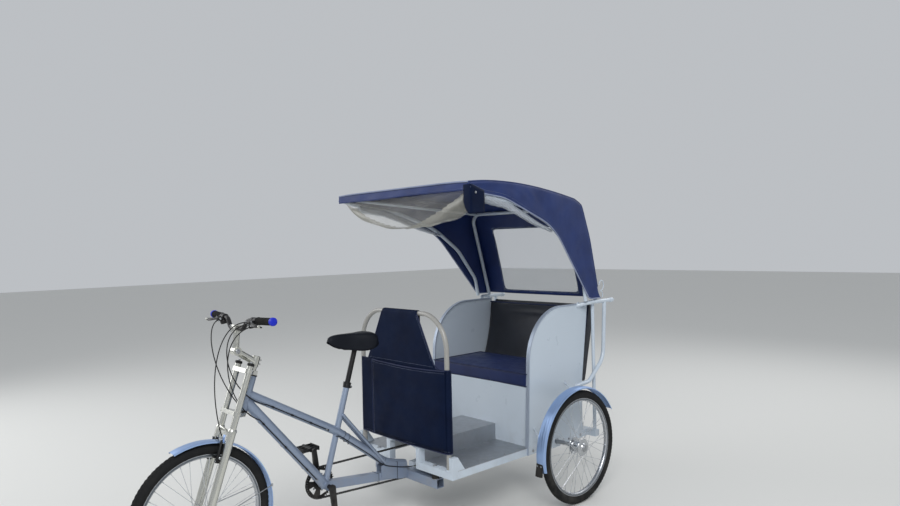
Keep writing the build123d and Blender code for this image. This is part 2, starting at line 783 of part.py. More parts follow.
with BuildPart() as axle_bearings:
    add(block(spot(-SPINE_W / 2, BEARING_L / 2, SPINE_TOP), spot(SPINE_W / 2, -BEARING_L / 2, BEARING_TOP)))
    for side in (1, -1):
        bearing_corner = spot(side * RAIL_IN, BEARING_L / 2, FLOOR_LOW - 10)
        add(block(bearing_corner, spot(side * RAIL_OUT, -BEARING_L / 2, BEARING_TOP)))
    add(rod(spot(-RAIL_OUT, 0, WHEEL_R), spot(RAIL_OUT, 0, WHEEL_R), SHAFT_R + RUN_FIT), mode=Mode.SUBTRACT)
save(axle_bearings, "axle_bearings")

with BuildPart() as side_rails:
    for side in (1, -1):
        inner = side * RAIL_IN
        outer = side * RAIL_OUT
        add(block(spot(inner, CAB_FRONT - RAIL, FLOOR_LOW), spot(outer, BEARING_L / 2, FLOOR_TOP)))
        add(block(spot(inner, -BEARING_L / 2, FLOOR_LOW), spot(outer, -CAB_BACK, FLOOR_TOP)))
save(side_rails, "side_rails")

ARCH_CROWN = ARCH_TOP + ARCH_RISE
ARCH_SHOULDER = ARCH_TOP + ARCH_RISE * 0.75
ARCH_IN = ARCH_HALF - ARCH_BAR
BRACKET = [
    (CAB_FRONT, FLOOR_TOP),
    (CAB_FRONT, FLOOR_TOP + BRACKET_H),
    (CAB_FRONT - RAIL, FLOOR_TOP + BRACKET_H),
    (CAB_FRONT - BRACKET_L, FLOOR_TOP + PLATE_T),
    (CAB_FRONT - RAIL, FLOOR_TOP + PLATE_T),
    (CAB_FRONT - RAIL, FLOOR_TOP),
]
with BuildPart() as front_member:
    with BuildSketch(front_plane(CAB_FRONT)):
        with BuildLine():
            Line((0, ARCH_CROWN), (0, ARCH_CROWN - ARCH_BAR))
            ThreePointArc(
                (0, ARCH_CROWN - ARCH_BAR),
                (ARCH_HALF / 2, ARCH_SHOULDER - ARCH_BAR),
                (ARCH_IN, ARCH_TOP - ARCH_BAR),
            )
            Polyline(
                (ARCH_IN, ARCH_TOP - ARCH_BAR),
                (ARCH_IN, FLOOR_LOW),
                (RAIL_OUT, FLOOR_LOW),
                (RAIL_OUT, FLOOR_TOP),
                (ARCH_HALF, FLOOR_TOP),
                (ARCH_HALF, ARCH_TOP),
            )
            ThreePointArc((ARCH_HALF, ARCH_TOP), (ARCH_HALF / 2, ARCH_SHOULDER), (0, ARCH_CROWN))
        make_face()
        mirror(about=Plane.YZ)
    extrude(amount=-RAIL)
    for side in (1, -1):
        add(side_prism(BRACKET, side * (HOOP_X + HOOP_R), side * RAIL_OUT))
save(front_member, "front_member")

with BuildPart() as cross_members:
    for forward in (BOX_AHEAD, -CAB_BACK + RAIL):
        add(block(spot(-RAIL_IN, forward, FLOOR_LOW), spot(RAIL_IN, forward - RAIL, FLOOR_TOP)))
    rear_corner = spot(REAR_MEMBER_HALF, -CAB_BACK - RAIL, FLOOR_TOP)
    add(block(spot(-REAR_MEMBER_HALF, -CAB_BACK, FLOOR_LOW), rear_corner))
save(cross_members, "cross_members")

with BuildPart() as spine:
    add(block(spot(-SPINE_W / 2, CROSS_BACK, SPINE_LOW), spot(SPINE_W / 2, -CAB_BACK + RAIL, SPINE_TOP)))
save(spine, "spine")

PLATE_TOP = FLOOR_TOP + PLATE_T
with BuildPart() as floor_plate:
    with BuildSketch(front_plane(CAB_FRONT - RAIL)):
        with BuildLine():
            Polyline(
                (0, ARCH_TOP),
                (ARCH_HALF, ARCH_TOP),
                (ARCH_HALF, PLATE_TOP),
                (RAIL_OUT, PLATE_TOP),
                (RAIL_OUT, FLOOR_TOP),
                (ARCH_HALF - PLATE_T, FLOOR_TOP),
                (ARCH_HALF - PLATE_T, ARCH_TOP - PLATE_T),
                (0, ARCH_TOP - PLATE_T),
                close=True,
            )
        make_face()
        mirror(about=Plane.YZ)
    extrude(amount=-(CAB_FRONT - RAIL - BEARING_L / 2))
    add(front_member.part, mode=Mode.SUBTRACT)
save(floor_plate, "floor_plate")

# Cab body


def panel_edge(grow):
    """Points of the panel's front and top edges, moved outwards."""
    corner = (PANEL_CORNER[0] + grow, PANEL_CORNER[1] + grow)
    return side_points([(PANEL_TOE + grow, FLOOR_LOW), corner, (PANEL_TAIL, PANEL_CORNER[1] + grow)])


PANEL_BACK = [
    (PANEL_TAIL, PANEL_CORNER[1]),
    (PANEL_TAIL - 10, PANEL_CORNER[1] - 14),
    (PANEL_HEEL, PANEL_WAIST),
    (PANEL_HEEL, FLOOR_LOW),
    (PANEL_TOE, FLOOR_LOW),
]
with BuildPart() as panel:
    with BuildSketch(Plane.YZ.offset(RAIL_OUT)):
        with BuildLine():
            FilletPolyline(*panel_edge(0), radius=PANEL_BEND)
            Polyline(side_points(PANEL_BACK))
        make_face()
    extrude(amount=PANEL_T)
    shaft_hole = rod(spot(RAIL_OUT, 0, WHEEL_R), spot(RAIL_OUT + PANEL_T, 0, WHEEL_R), SHAFT_R + SHAFT_HOLE)
    add(shaft_hole, mode=Mode.SUBTRACT)
with BuildPart() as trim:
    with BuildSketch(Plane.YZ.offset(RAIL_OUT - TRIM_IN)):
        with BuildLine():
            FilletPolyline(*panel_edge(TRIM_T), radius=PANEL_BEND + TRIM_T)
            Polyline(side_points([(PANEL_TAIL, PANEL_CORNER[1] + TRIM_T), (PANEL_TAIL, PANEL_CORNER[1])]))
            FilletPolyline(*panel_edge(0), radius=PANEL_BEND)
            Polyline(side_points([(PANEL_TOE, FLOOR_LOW), (PANEL_TOE + TRIM_T, FLOOR_LOW)]))
        make_face()
    extrude(amount=TRIM_IN + PANEL_T + TRIM_PROUD)
    toe_corner = spot(RAIL_OUT - TRIM_IN, PANEL_TOE + 2 * TRIM_T, FLOOR_LOW)
    add(block(toe_corner, spot(RAIL_OUT, 0, PLATE_TOP)), mode=Mode.SUBTRACT)

with BuildPart() as side_panels:
    add(panel.part)
    mirror(about=Plane.YZ)
save(side_panels, "side_panels")

with BuildPart() as panel_trims:
    add(trim.part)
    mirror(about=Plane.YZ)
save(panel_trims, "panel_trims")

LID_TOP = SEAT_TOP + PANEL_T
with BuildPart() as seat_box:
    with BuildSketch(front_plane(BOX_AHEAD)):
        with BuildLine():
            Polyline(
                (0, ARCH_TOP),
                (ARCH_HALF, ARCH_TOP),
                (ARCH_HALF, PLATE_TOP),
                (RAIL_OUT, PLATE_TOP),
                (RAIL_OUT, SEAT_TOP),
                (0, SEAT_TOP),
                close=True,
            )
        make_face()
        mirror(about=Plane.YZ)
    extrude(amount=-PANEL_T)
    add(block(spot(-RAIL_OUT, BOX_AHEAD, SEAT_TOP), spot(RAIL_OUT, PANEL_HEEL, LID_TOP)))
    add(panel_trims.part, mode=Mode.SUBTRACT)
save(seat_box, "seat_box")

with BuildPart() as back_plate:
    add(side_prism(BACK_LEAN, -RAIL_OUT, RAIL_OUT))
save(back_plate, "back_plate")

CUSHION_HALF = RAIL_OUT - CUSHION_IN
with BuildPart() as seat_cushion:
    cushion_top = spot(CUSHION_HALF, SEAT_BACK_END, LID_TOP + CUSHION_T)
    add(block(spot(-CUSHION_HALF, BOX_AHEAD + CUSHION_NOSE, LID_TOP), cushion_top))
    fillet(edges().filter_by(Axis.X), radius=CUSHION_ROUNDING)
save(seat_cushion, "seat_cushion")

with BuildPart() as back_cushion:
    add(side_prism(BACK_PAD, -CUSHION_HALF, CUSHION_HALF))
    add(back_plate.part, mode=Mode.SUBTRACT)
save(back_cushion, "back_cushion")

hoop_line = HOOP_TOP - HOOP_R
HOOP_ROUTE = [
    spot(-HOOP_X, HOOP_AHEAD, FLOOR_TOP),
    spot(-HOOP_X, HOOP_AHEAD, hoop_line),
    spot(HOOP_X, HOOP_AHEAD, hoop_line),
    spot(HOOP_X, HOOP_AHEAD, FLOOR_TOP),
]
with BuildPart() as hoop:
    add(bent_tube(HOOP_ROUTE, [HOOP_BEND, HOOP_BEND], HOOP_R))
save(hoop, "hoop")

SCREEN_BACK = CAB_FRONT + SEAT_GAP
SCREEN_FACE = SCREEN_BACK + SCREEN_T
with BuildPart() as screen:
    with BuildSketch(front_plane(SCREEN_BACK)):
        with BuildLine():
            Polyline(
                (-SCREEN_FAR, SCREEN_LOW),
                (SCREEN_HALF, SCREEN_LOW),
                (SCREEN_HALF, POCKET_TOP),
                SCREEN_SHOULDER,
                SCREEN_CREST,
                (-SCREEN_CREST[0], SCREEN_CREST[1]),
                (-SCREEN_SHOULDER[0], SCREEN_SHOULDER[1]),
                (-SCREEN_FAR, POCKET_TOP),
                close=True,
            )
        make_face()
    extrude(amount=SCREEN_T)
    pocket_top = spot(SCREEN_HALF, SCREEN_FACE, POCKET_TOP)
    add(block(spot(-POCKET_EDGE, SCREEN_FACE + POCKET_T, SCREEN_LOW), pocket_top))
save(screen, "screen")

# Rear tubes

PANEL_OUT = RAIL_OUT + PANEL_T
behind_panel = block(spot(RAIL_OUT - 60, -100, 500), spot(PANEL_OUT, -420, 1300))
bar_end = spot(REAR_TUBE_X, -BAR_BACK, BAR_Z)
bar_route = [spot(*place) for place in BAR_START] + [bar_end]
loop_route = [spot(*place) for place in LOOP]
with BuildPart() as rear_bars:
    add(bent_tube(bar_route, [BAR_CURVE], REAR_TUBE_R))
    add(rod(bar_end, spot(REAR_TUBE_X, BAR_CAP_L - BAR_BACK, BAR_Z), BAR_CAP_R))
    add(behind_panel, mode=Mode.SUBTRACT)
    add(trim.part, mode=Mode.SUBTRACT)
    mirror(about=Plane.YZ)
save(rear_bars, "rear_bars")

with BuildPart() as rear_loops:
    add(bent_tube(loop_route, LOOP_BENDS, REAR_TUBE_R))
    add(behind_panel, mode=Mode.SUBTRACT)
    add(rear_bars.part, mode=Mode.SUBTRACT)
    mirror(about=Plane.YZ)
save(rear_loops, "rear_loops")

POST_AHEAD = -CAB_BACK - RAIL / 2
with BuildPart() as rear_posts:
    add(rod(spot(POST_X, POST_AHEAD, FLOOR_TOP), spot(POST_X, POST_AHEAD, BAR_Z), POST_R))
    add(rear_bars.part, mode=Mode.SUBTRACT)
    mirror(about=Plane.YZ)
save(rear_posts, "rear_posts")

# Mudguards with stays and rubber flaps


def mudguard(centre, width, radius, start, arc):
    """Curved guard with turned-down lips, from its start angle over the top towards the back."""
    half = width / 2
    lip = radius - GUARD_LIP
    section = [
        (-half, lip),
        (-half, radius + GUARD_T),
        (half, radius + GUARD_T),
        (half, lip),
        (half - GUARD_T, lip),
        (half - GUARD_T, radius),
        (-half + GUARD_T, radius),
        (-half + GUARD_T, lip),
    ]
    with BuildPart() as made:
        with BuildSketch(radial_plane(centre, start)):
            with BuildLine():
                Polyline(section, close=True)
            make_face()
        revolve(axis=Axis(centre, (-1, 0, 0)), revolution_arc=arc)
    return made.part


GUARD_IN = HALF_TRACK - GUARD_W / 2
REAR_HUB = spot(HALF_TRACK, 0, WHEEL_R)
with BuildPart() as rear_guards:
    add(mudguard(REAR_HUB, GUARD_W, GUARD_R, REAR_GUARD_FROM, REAR_GUARD_ARC))
    for angle in GUARD_STAYS:
        forward = GUARD_STAY_REACH * cos(radians(angle))
        up = WHEEL_R + GUARD_STAY_REACH * sin(radians(angle))
        if forward > -CAB_BACK / 2:
            root = spot(PANEL_OUT, forward, up)
        else:
            root = spot(POST_X, POST_AHEAD, up - GUARD_STAY_DROP)
        add(rod(root, spot(GUARD_IN + GUARD_T / 2, forward, up), GUARD_STAY_R))
    post_stretch = rod(spot(POST_X, POST_AHEAD, FLOOR_TOP), spot(POST_X, POST_AHEAD, SEAT_TOP), POST_R)
    add(post_stretch, mode=Mode.SUBTRACT)
    mirror(about=Plane.YZ)
save(rear_guards, "rear_guards")

with BuildPart() as guard_flaps:
    with BuildSketch(radial_plane(REAR_HUB, REAR_GUARD_FROM + FLAP_LAP)):
        with Locations((0, GUARD_R + GUARD_T + FLAP_T / 2 + SEAT_GAP)):
            Rectangle(GUARD_W - 6, FLAP_T)
    extrude(amount=FLAP_L)
    mirror(about=Plane.YZ)
save(guard_flaps, "guard_flaps")

# Canopy


def canopy_half(forward):
    """Half width of the canopy at a place ahead of the rear axle; it widens towards the front."""
    if forward > CANOPY_KNEE:
        slope = (FRONT_HALF - KNEE_HALF) / (CANOPY_FRONT - CANOPY_KNEE)
    else:
        slope = (KNEE_HALF - BASE_HALF) / (CANOPY_KNEE - CANOPY_BASE)
    return KNEE_HALF + slope * (forward - CANOPY_KNEE)


def canopy_block(profile, inset):
    """Side profile stretched across and cut to the canopy's plan, drawn in from it by the inset."""
    reach = FRONT_HALF + 10
    places = (CANOPY_FRONT, CANOPY_KNEE, CANOPY_BASE, CANOPY_BASE - 20)
    left = [(canopy_half(forward) - inset, ahead(forward)) for forward in places]
    right = [(-x, y) for x, y in reversed(left)]
    with BuildPart() as made:
        with BuildSketch(Plane.YZ.offset(-reach)):
            with BuildLine():
                ThreePointArc(*side_points(profile[:3]))
                Polyline(side_points(profile[2:] + profile[:1]))
            make_face()
        extrude(amount=2 * reach)
        with BuildSketch(Plane.XY.offset(1100)):
            with BuildLine():
                Polyline(left + right, close=True)
            make_face()
        extrude(amount=900, mode=Mode.INTERSECT)
    return made.part


window_cut = block(spot(-WINDOW_HALF, -150, WINDOW_LOW), spot(WINDOW_HALF, -420, WINDOW_HIGH))
with BuildPart() as canopy:
    add(canopy_block(ROOF + HEM[1:] + FRONT_CORNER_FLAP, 0))
    add(canopy_block(LINING + [(870, 1211)], CANOPY_T), mode=Mode.SUBTRACT)
    add(side_prism(SKIRT, -SKIRT_HALF, SKIRT_HALF))
    add(side_prism(VALANCE, VALANCE_IN - FRONT_HALF, FRONT_HALF - VALANCE_IN))
    add(window_cut, mode=Mode.SUBTRACT)
save(canopy, "canopy")

wall_slope = (ROOF[4][0] - ROOF[5][0]) / (ROOF[4][1] - ROOF[5][1])
pane_low = ROOF[4][0] + wall_slope * (WINDOW_LOW - ROOF[4][1]) + PANE_INSET
pane_high = ROOF[4][0] + wall_slope * (WINDOW_HIGH - ROOF[4][1]) + PANE_INSET
PANE = [
    (pane_low, WINDOW_LOW + SEAT_GAP),
    (pane_low - PANE_T, WINDOW_LOW + SEAT_GAP),
    (pane_high - PANE_T, WINDOW_HIGH - SEAT_GAP),
    (pane_high, WINDOW_HIGH - SEAT_GAP),
]
with BuildPart() as rear_window:
    add(side_prism(PANE, -WINDOW_HALF + SEAT_GAP, WINDOW_HALF - SEAT_GAP))
save(rear_window, "rear_window")


def bow_spot(forward, up, inset=0.0):
    """Point on the line of a bow that lies just inside the canopy's side."""
    return spot(canopy_half(forward) - CANOPY_T - BOW_GAP - BOW_R - inset, forward, up)


def other_side(point):
    """The same place on the right."""
    return (-point[0], point[1], point[2])


bow_foot_z = BAR_Z + REAR_TUBE_R - 2
side_bow_foot = spot(SIDE_BOW_FOOT, SIDE_BOW_FOOT_AHEAD, bow_foot_z)
side_bow_line = [side_bow_foot] + [bow_spot(*place) for place in SIDE_BOW]
front_corner = side_bow_line[-1]
rear_line = [spot(REAR_BOW_HALF, REAR_BOW_FOOT_AHEAD, bow_foot_z), spot(REAR_BOW_HALF, *REAR_BOW)]
rear_line = rear_line + [other_side(place) for place in reversed(rear_line)]
with BuildPart() as canopy_bows:
    add(bent_tube(side_bow_line, SIDE_BOW_BENDS, BOW_R))
    mirror(about=Plane.YZ)
    front_line = [front_corner, spot(0, SIDE_BOW[-1][0] + 4, FRONT_BOW_RISE), other_side(front_corner)]
    add(bent_tube(front_line, [FRONT_BOW_BEND], BOW_R))
    add(bent_tube(rear_line, [REAR_BOW_BEND, REAR_BOW_BEND], BOW_R))
    for side in (1, -1):
        rail_front = spot(side * ROOF_RAIL_X[1], SIDE_BOW[-1][0], SIDE_BOW[-1][1] + 2)
        add(rod(spot(side * ROOF_RAIL_X[0], *REAR_BOW), rail_front, ROOF_RAIL_R))
    add(rear_bars.part, mode=Mode.SUBTRACT)
save(canopy_bows, "canopy_bows")

with BuildPart() as curtains:
    with BuildSketch(Plane.YZ.offset(-CURTAIN_HALF)):
        with BuildLine():
            FilletPolyline(*side_points(CURTAIN), radius=CURTAIN_BENDS)
            offset(amount=CURTAIN_T, side=Side.RIGHT)
        make_face()
    extrude(amount=2 * CURTAIN_HALF)
    roll_line = [spot(canopy_half(forward) - ROLL_IN, forward, up) for forward, up in ROLL]
    add(bent_tube(roll_line, ROLL_BENDS, ROLL_R))
    mirror(about=Plane.YZ)
    add(canopy_bows.part, mode=Mode.SUBTRACT)
save(curtains, "curtains")

# Fork, stem and handlebar

legs_envelope = []
for side in (1, -1):
    foot = on_steer(side * LEG_X, FORK_OFFSET, LOWER_LEG_TOP)
    legs_envelope.append(rod(foot, on_steer(side * LEG_X, FORK_OFFSET, LEG_TOP), UPPER_LEG_R))

with BuildPart() as fork_legs:
    for side in (1, -1):
        leg_top = on_steer(side * LEG_X, FORK_OFFSET, LOWER_LEG_TOP)
        add(rod(on_steer(side * LEG_X, FORK_OFFSET, -LEG_FOOT), leg_top, LOWER_LEG_R))
        leg_place = spot(side * LEG_X, WHEELBASE, WHEEL_R)
        add(rod(spot(side * (AXLE_HALF + SEAT_GAP), WHEELBASE, WHEEL_R), leg_place, FRONT_AXLE_R + 5))
        add(rod(leg_place, spot(side * (LEG_X + 34), WHEELBASE, WHEEL_R), FRONT_AXLE_R + 3))
    add(legs_envelope)
    add(rod(spot(-LEG_X, WHEELBASE, WHEEL_R), spot(LEG_X, WHEELBASE, WHEEL_R), FRONT_AXLE_R))
    brace_at = on_steer(0, FORK_OFFSET, LOWER_LEG_TOP - BRACE_DOWN)
    with BuildSketch(Plane(origin=brace_at, x_dir=(1, 0, 0), z_dir=STEER.z_dir)):
        Rectangle(2 * LEG_X, BRACE_T)
    extrude(amount=BRACE_T)
save(fork_legs, "fork_legs")

STEERER_TOP = HEAD_TOP + CROWN_GAP + CROWN_T + STEERER_SPACER
with BuildPart() as fork_crowns:
    for low in (HEAD_LOW - CROWN_GAP - CROWN_T, HEAD_TOP + CROWN_GAP):
        with BuildSketch(STEER.offset(low)):
            Circle(STEERER_R + 10)
            with Locations((LEG_X, -FORK_OFFSET), (-LEG_X, -FORK_OFFSET)):
                Circle(UPPER_LEG_R + 6)
            make_hull()
        extrude(amount=CROWN_T)
    add(rod(on_steer(0, 0, HEAD_LOW - CROWN_GAP), on_steer(0, 0, STEERER_TOP), STEERER_R))
    add(legs_envelope, mode=Mode.SUBTRACT)
save(fork_crowns, "fork_crowns")

elbow = spot(0, *STEM_ELBOW)
with BuildPart() as stem:
    add(rod(on_steer(0, 0, STEERER_TOP), on_steer(0, 0, STEERER_TOP + STEM_BASE_H), STEM_R + 4))
    add(rod(on_steer(0, 0, STEERER_TOP + STEM_BASE_H / 2), elbow, STEM_R + 2))
    add(rod(spot(-STEM_HALF, *STEM_ELBOW), spot(STEM_HALF, *STEM_ELBOW), STEM_R + 5))
    add(rod(elbow, spot(0, *BAR_CLAMP), STEM_R))
    clamp_line = (spot(-CLAMP_HALF, *BAR_CLAMP), spot(CLAMP_HALF, *BAR_CLAMP))
    add(rod(*clamp_line, BAR_R + 8))
    add(rod(*clamp_line, BAR_R), mode=Mode.SUBTRACT)
save(stem, "stem")

bar_line = [spot(*place) for place in BAR_ROUTE]
bar_line = bar_line + [other_side(place) for place in reversed(bar_line)]
with BuildPart() as handlebar:
    add(bent_tube(bar_line, [BAR_BEND] * 4, BAR_R))
save(handlebar, "handlebar")

bar_tip = Vector(bar_line[0])
inward = (Vector(bar_line[1]) - bar_tip).normalized()
with BuildPart() as grips:
    add(rod(bar_tip - inward * GRIP_CAP, bar_tip + inward * GRIP_L, GRIP_R))
    add(handlebar.part, mode=Mode.SUBTRACT)
    mirror(about=Plane.YZ)
save(grips, "grips")

clamp_start = bar_tip + inward * (GRIP_L + LEVER_GAP)
clamp_middle = clamp_start + inward * (LEVER_CLAMP / 2)
lever_body = clamp_middle + Vector(0, -LEVER_REACH, -LEVER_DROP)
with BuildPart() as brake_levers:
    add(rod(clamp_start, clamp_start + inward * LEVER_CLAMP, BAR_R + 6))
    add(rod(clamp_middle, lever_body, LEVER_HEAD_R))
    add(rod(lever_body, lever_body + Vector(LEVER_L, -LEVER_SLOPE, -LEVER_SLOPE), LEVER_R))
    add(handlebar.part, mode=Mode.SUBTRACT)
    mirror(about=Plane.YZ)
save(brake_levers, "brake_levers")

with BuildPart() as front_guard:
    add(mudguard(FRONT_HUB, FRONT_GUARD_W, FRONT_GUARD_R, FRONT_GUARD_FROM, FRONT_GUARD_ARC))
    tongue_at = on_steer(0, FORK_OFFSET, FRONT_GUARD_R)
    with BuildSketch(Plane(origin=tongue_at, x_dir=(1, 0, 0), z_dir=STEER.z_dir)):
        Rectangle(*GUARD_TONGUE)
    extrude(amount=LOWER_LEG_TOP - BRACE_DOWN - FRONT_GUARD_R)
    stay_forward = WHEELBASE + FRONT_GUARD_R * cos(radians(FRONT_STAY_AT))
    stay_up = WHEEL_R + FRONT_GUARD_R * sin(radians(FRONT_STAY_AT))
    for side in (1, -1):
        end = spot(side * (FRONT_GUARD_W / 2 - GUARD_T / 2), stay_forward, stay_up)
        add(rod(spot(side * (LEG_X + 26), WHEELBASE - 12, WHEEL_R), end, FRONT_STAY_R))
    add(fork_legs.part, mode=Mode.SUBTRACT)
save(front_guard, "front_guard")

with BuildPart() as rim_brake:
    for side in (1, -1):
        arm_top = on_steer(side * (BRAKE_ARM_X - 4), BRAKE_FORWARD, BRAKE_TOP)
        add(rod(on_steer(side * BRAKE_ARM_X, BRAKE_FORWARD, BRAKE_LOW), arm_top, BRAKE_ARM_R))
        pad_tip = on_steer(side * PAD_X, PAD_FORWARD, PAD_UP - 1)
        add(rod(on_steer(side * BRAKE_ARM_X, BRAKE_FORWARD, PAD_UP), pad_tip, PAD_R))
        boss_end = on_steer(side * BOSS_X[1], BOSS_FORWARD, BRAKE_LOW)
        add(rod(on_steer(side * BOSS_X[0], BRAKE_FORWARD, BRAKE_LOW), boss_end, BRAKE_ARM_R))
    noodle_line = [on_steer(side * (BRAKE_ARM_X - 4), BRAKE_FORWARD, BRAKE_TOP - 4) for side in (1, -1)]
    add(rod(*noodle_line, NOODLE_R))
    add(fork_legs.part, mode=Mode.SUBTRACT)
save(rim_brake, "rim_brake")

# Brake and gear cables


def swoop(start, start_pull, end_pull, end, count):
    """Points along a cubic curve from start to end, shaped by the two pull points."""
    points = []
    for number in range(count + 1):
        t = number / count
        weights = ((1 - t) ** 3, 3 * t * (1 - t) ** 2, 3 * t * t * (1 - t), t**3)
        pulled = zip(weights, (start, start_pull, end_pull, end))
        points.append(tuple(sum((Vector(place) * w for w, place in pulled), Vector(0, 0, 0))))
    return points


def cable(points):
    """Cable along a route, each bend as large as its two runs allow; prints the bends' radii."""
    radii = []
    for before, corner, after in zip(points, points[1:], points[2:]):
        run_in = Vector(corner) - Vector(before)
        run_out = Vector(after) - Vector(corner)
        half_turn = radians(run_in.get_angle(run_out)) / 2
        radii.append(0.45 * min(run_in.length, run_out.length) / tan(half_turn))
    print("cable bend radii", [round(radius) for radius in radii])
    return bent_tube(points, radii, CABLE_R)


def under_tube(start, end, radius, along, left):
    """Point on a cable that lies against the underside of a tube, counted along it from the start."""
    run = (Vector(end) - Vector(start)).normalized()
    drop = sqrt((radius + CABLE_R + CABLE_FIT) ** 2 - left**2)
    return tuple(Vector(start) + run * along + Vector(left, run.Z * drop, -run.Y * drop))


down_tube_line = (on_steer(0, 0, DOWN_TUBE_AT), CRANK_CENTRE, DOWN_TUBE_R)
top_tube_line = (on_steer(0, 0, TOP_TUBE_AT), on_seat(TOP_TUBE_ON_SEAT), TOP_TUBE_R)
cable_tubes = [(1, top_tube_line, TOP_CABLE_STOP), (-1, down_tube_line, CABLE_STOP)]


body_place = tuple(lever_body)
body_left = (body_place[0] - 9.5, body_place[1], body_place[2])
brake_end = on_steer(40, BRAKE_FORWARD, BRAKE_TOP + 8)
with BuildPart() as front_brake_cable:
    first_pull, last_pull = [spot(*place) for place in BRAKE_PULLS]
    add(cable(swoop(body_left, first_pull, last_pull, tuple(brake_end), CABLE_STEPS)))
save(front_brake_cable, "front_brake_cable")

with BuildPart() as bar_cables:
    for side, tube_line, _ in cable_tubes:
        start = (side * body_left[0], body_left[1], body_left[2] - 7)
        end = under_tube(*tube_line, CABLE_FROM, side * CABLE_X)
        first_pull, last_pull = [spot(side * x, forward, up) for x, forward, up in BAR_PULLS]
        add(cable(swoop(start, first_pull, last_pull, end, CABLE_STEPS)))
save(bar_cables, "bar_cables")

with BuildPart() as frame_cables:
    for side, tube_line, stop in cable_tubes:
        reach = (Vector(tube_line[1]) - Vector(tube_line[0])).length - stop
        cable_start = under_tube(*tube_line, CABLE_FROM + 2, side * CABLE_X)
        add(rod(cable_start, under_tube(*tube_line, reach, side * CABLE_X), CABLE_R))
save(frame_cables, "frame_cables")
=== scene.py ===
"""Builds a cycle rickshaw's looks round its solid model: materials, fabric, wheels, cables and fittings."""

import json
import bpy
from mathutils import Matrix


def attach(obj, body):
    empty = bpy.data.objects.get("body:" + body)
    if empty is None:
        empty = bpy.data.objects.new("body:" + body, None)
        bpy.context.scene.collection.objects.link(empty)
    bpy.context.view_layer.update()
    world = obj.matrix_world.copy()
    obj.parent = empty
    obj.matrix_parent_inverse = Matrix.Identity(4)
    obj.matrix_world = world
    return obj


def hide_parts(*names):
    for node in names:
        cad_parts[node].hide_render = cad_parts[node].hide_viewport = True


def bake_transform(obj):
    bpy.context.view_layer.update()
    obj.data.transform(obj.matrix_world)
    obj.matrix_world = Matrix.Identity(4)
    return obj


bl_info = {
    "name": "Cycle Rickshaw",
    "version": (1, 0, 0),
    "blender": (4, 5, 0),
    "location": "View3D > Sidebar > Rickshaw",
    "description": "Dresses a cycle rickshaw in its materials, fabric and fittings",
    "category": "Object",
}

from math import acos, atan2, ceil, copysign, cos, exp, hypot, pi, radians, sin, sqrt, tan

import bmesh
import bpy
from mathutils import Matrix, Vector, noise

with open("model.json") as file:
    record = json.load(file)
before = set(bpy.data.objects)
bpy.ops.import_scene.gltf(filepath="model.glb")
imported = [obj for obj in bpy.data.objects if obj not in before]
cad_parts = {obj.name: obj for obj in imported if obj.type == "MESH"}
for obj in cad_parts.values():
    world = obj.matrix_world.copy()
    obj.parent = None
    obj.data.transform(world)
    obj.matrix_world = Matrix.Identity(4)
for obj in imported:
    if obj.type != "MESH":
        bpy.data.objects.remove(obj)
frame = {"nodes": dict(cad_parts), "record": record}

AXLE_Y = 0.915
WHEELBASE = 2.03
WHEEL_R = 0.33
HALF_TRACK = 0.585


def at(left, forward, up):
    """Point given in metres: left of the centre line, ahead of the rear axle, above the ground."""
    return Vector((left, AXLE_Y - forward, up))


def linear(text, alpha=1.0):
    """Linear colour from an sRGB hex string."""
    values = [int(text[i : i + 2], 16) / 255 for i in (1, 3, 5)]
    values = [v / 12.92 if v <= 0.04045 else ((v + 0.055) / 1.055) ** 2.4 for v in values]
    return (*values, alpha)


# Sizes and colours that a user may change


def length_setting(name, description, default):
    """Length in metres, shown in the scene's units."""
    return bpy.props.FloatProperty(
        name=name, description=description, default=default, min=0.0, precision=4, unit="LENGTH",
        subtype="DISTANCE",
    )


def colour_setting(name, description, default):
    """Colour given as an sRGB hex string."""
    return bpy.props.FloatVectorProperty(
        name=name, description=description, default=linear(default), size=4, min=0.0, max=1.0,
        subtype="COLOR",
    )


class RickshawSizes(bpy.types.PropertyGroup):
    """Sizes of the pieces made here."""

    spokes: bpy.props.IntProperty(
        name="Spokes", description="Spokes in each wheel, in fours", default=36, min=12, max=48
    )
    tread_blocks: bpy.props.IntProperty(
        name="Tread Blocks", description="Blocks in each row round a tyre", default=92, min=24, max=160
    )
    spoke_radius: length_setting("Spoke Radius", "Radius of a spoke's wire", 0.00115)
    window_half: length_setting("Window Half Width", "From the middle of the rear window to its side", 0.32)
    window_low: length_setting("Window Sill", "Height of the rear window's lower edge", 1.212)
    window_high: length_setting("Window Head", "Height of the rear window's upper edge", 1.64)
    curtain_half: length_setting("Curtain Half Width", "Half the width of the front curtain", 0.54)
    roll_radius: length_setting("Roll Radius", "Radius of a rolled side curtain", 0.0235)
    cloth_thickness: length_setting("Cloth Thickness", "Thickness of the coated cloth", 0.0022)
    film_thickness: length_setting("Film Thickness", "Thickness of the clear vinyl", 0.0008)
    cushion_swell: length_setting("Cushion Swell", "How far a cushion may swell between its seams", 0.015)
    piping_radius: length_setting("Piping Radius", "Radius of the cord in a cushion's seam", 0.0042)
    casing_radius: length_setting("Casing Radius", "Radius of a cable's outer casing", 0.0025)
    guard_half: length_setting("Guard Half Width", "Half the width of a rear mudguard", 0.032)


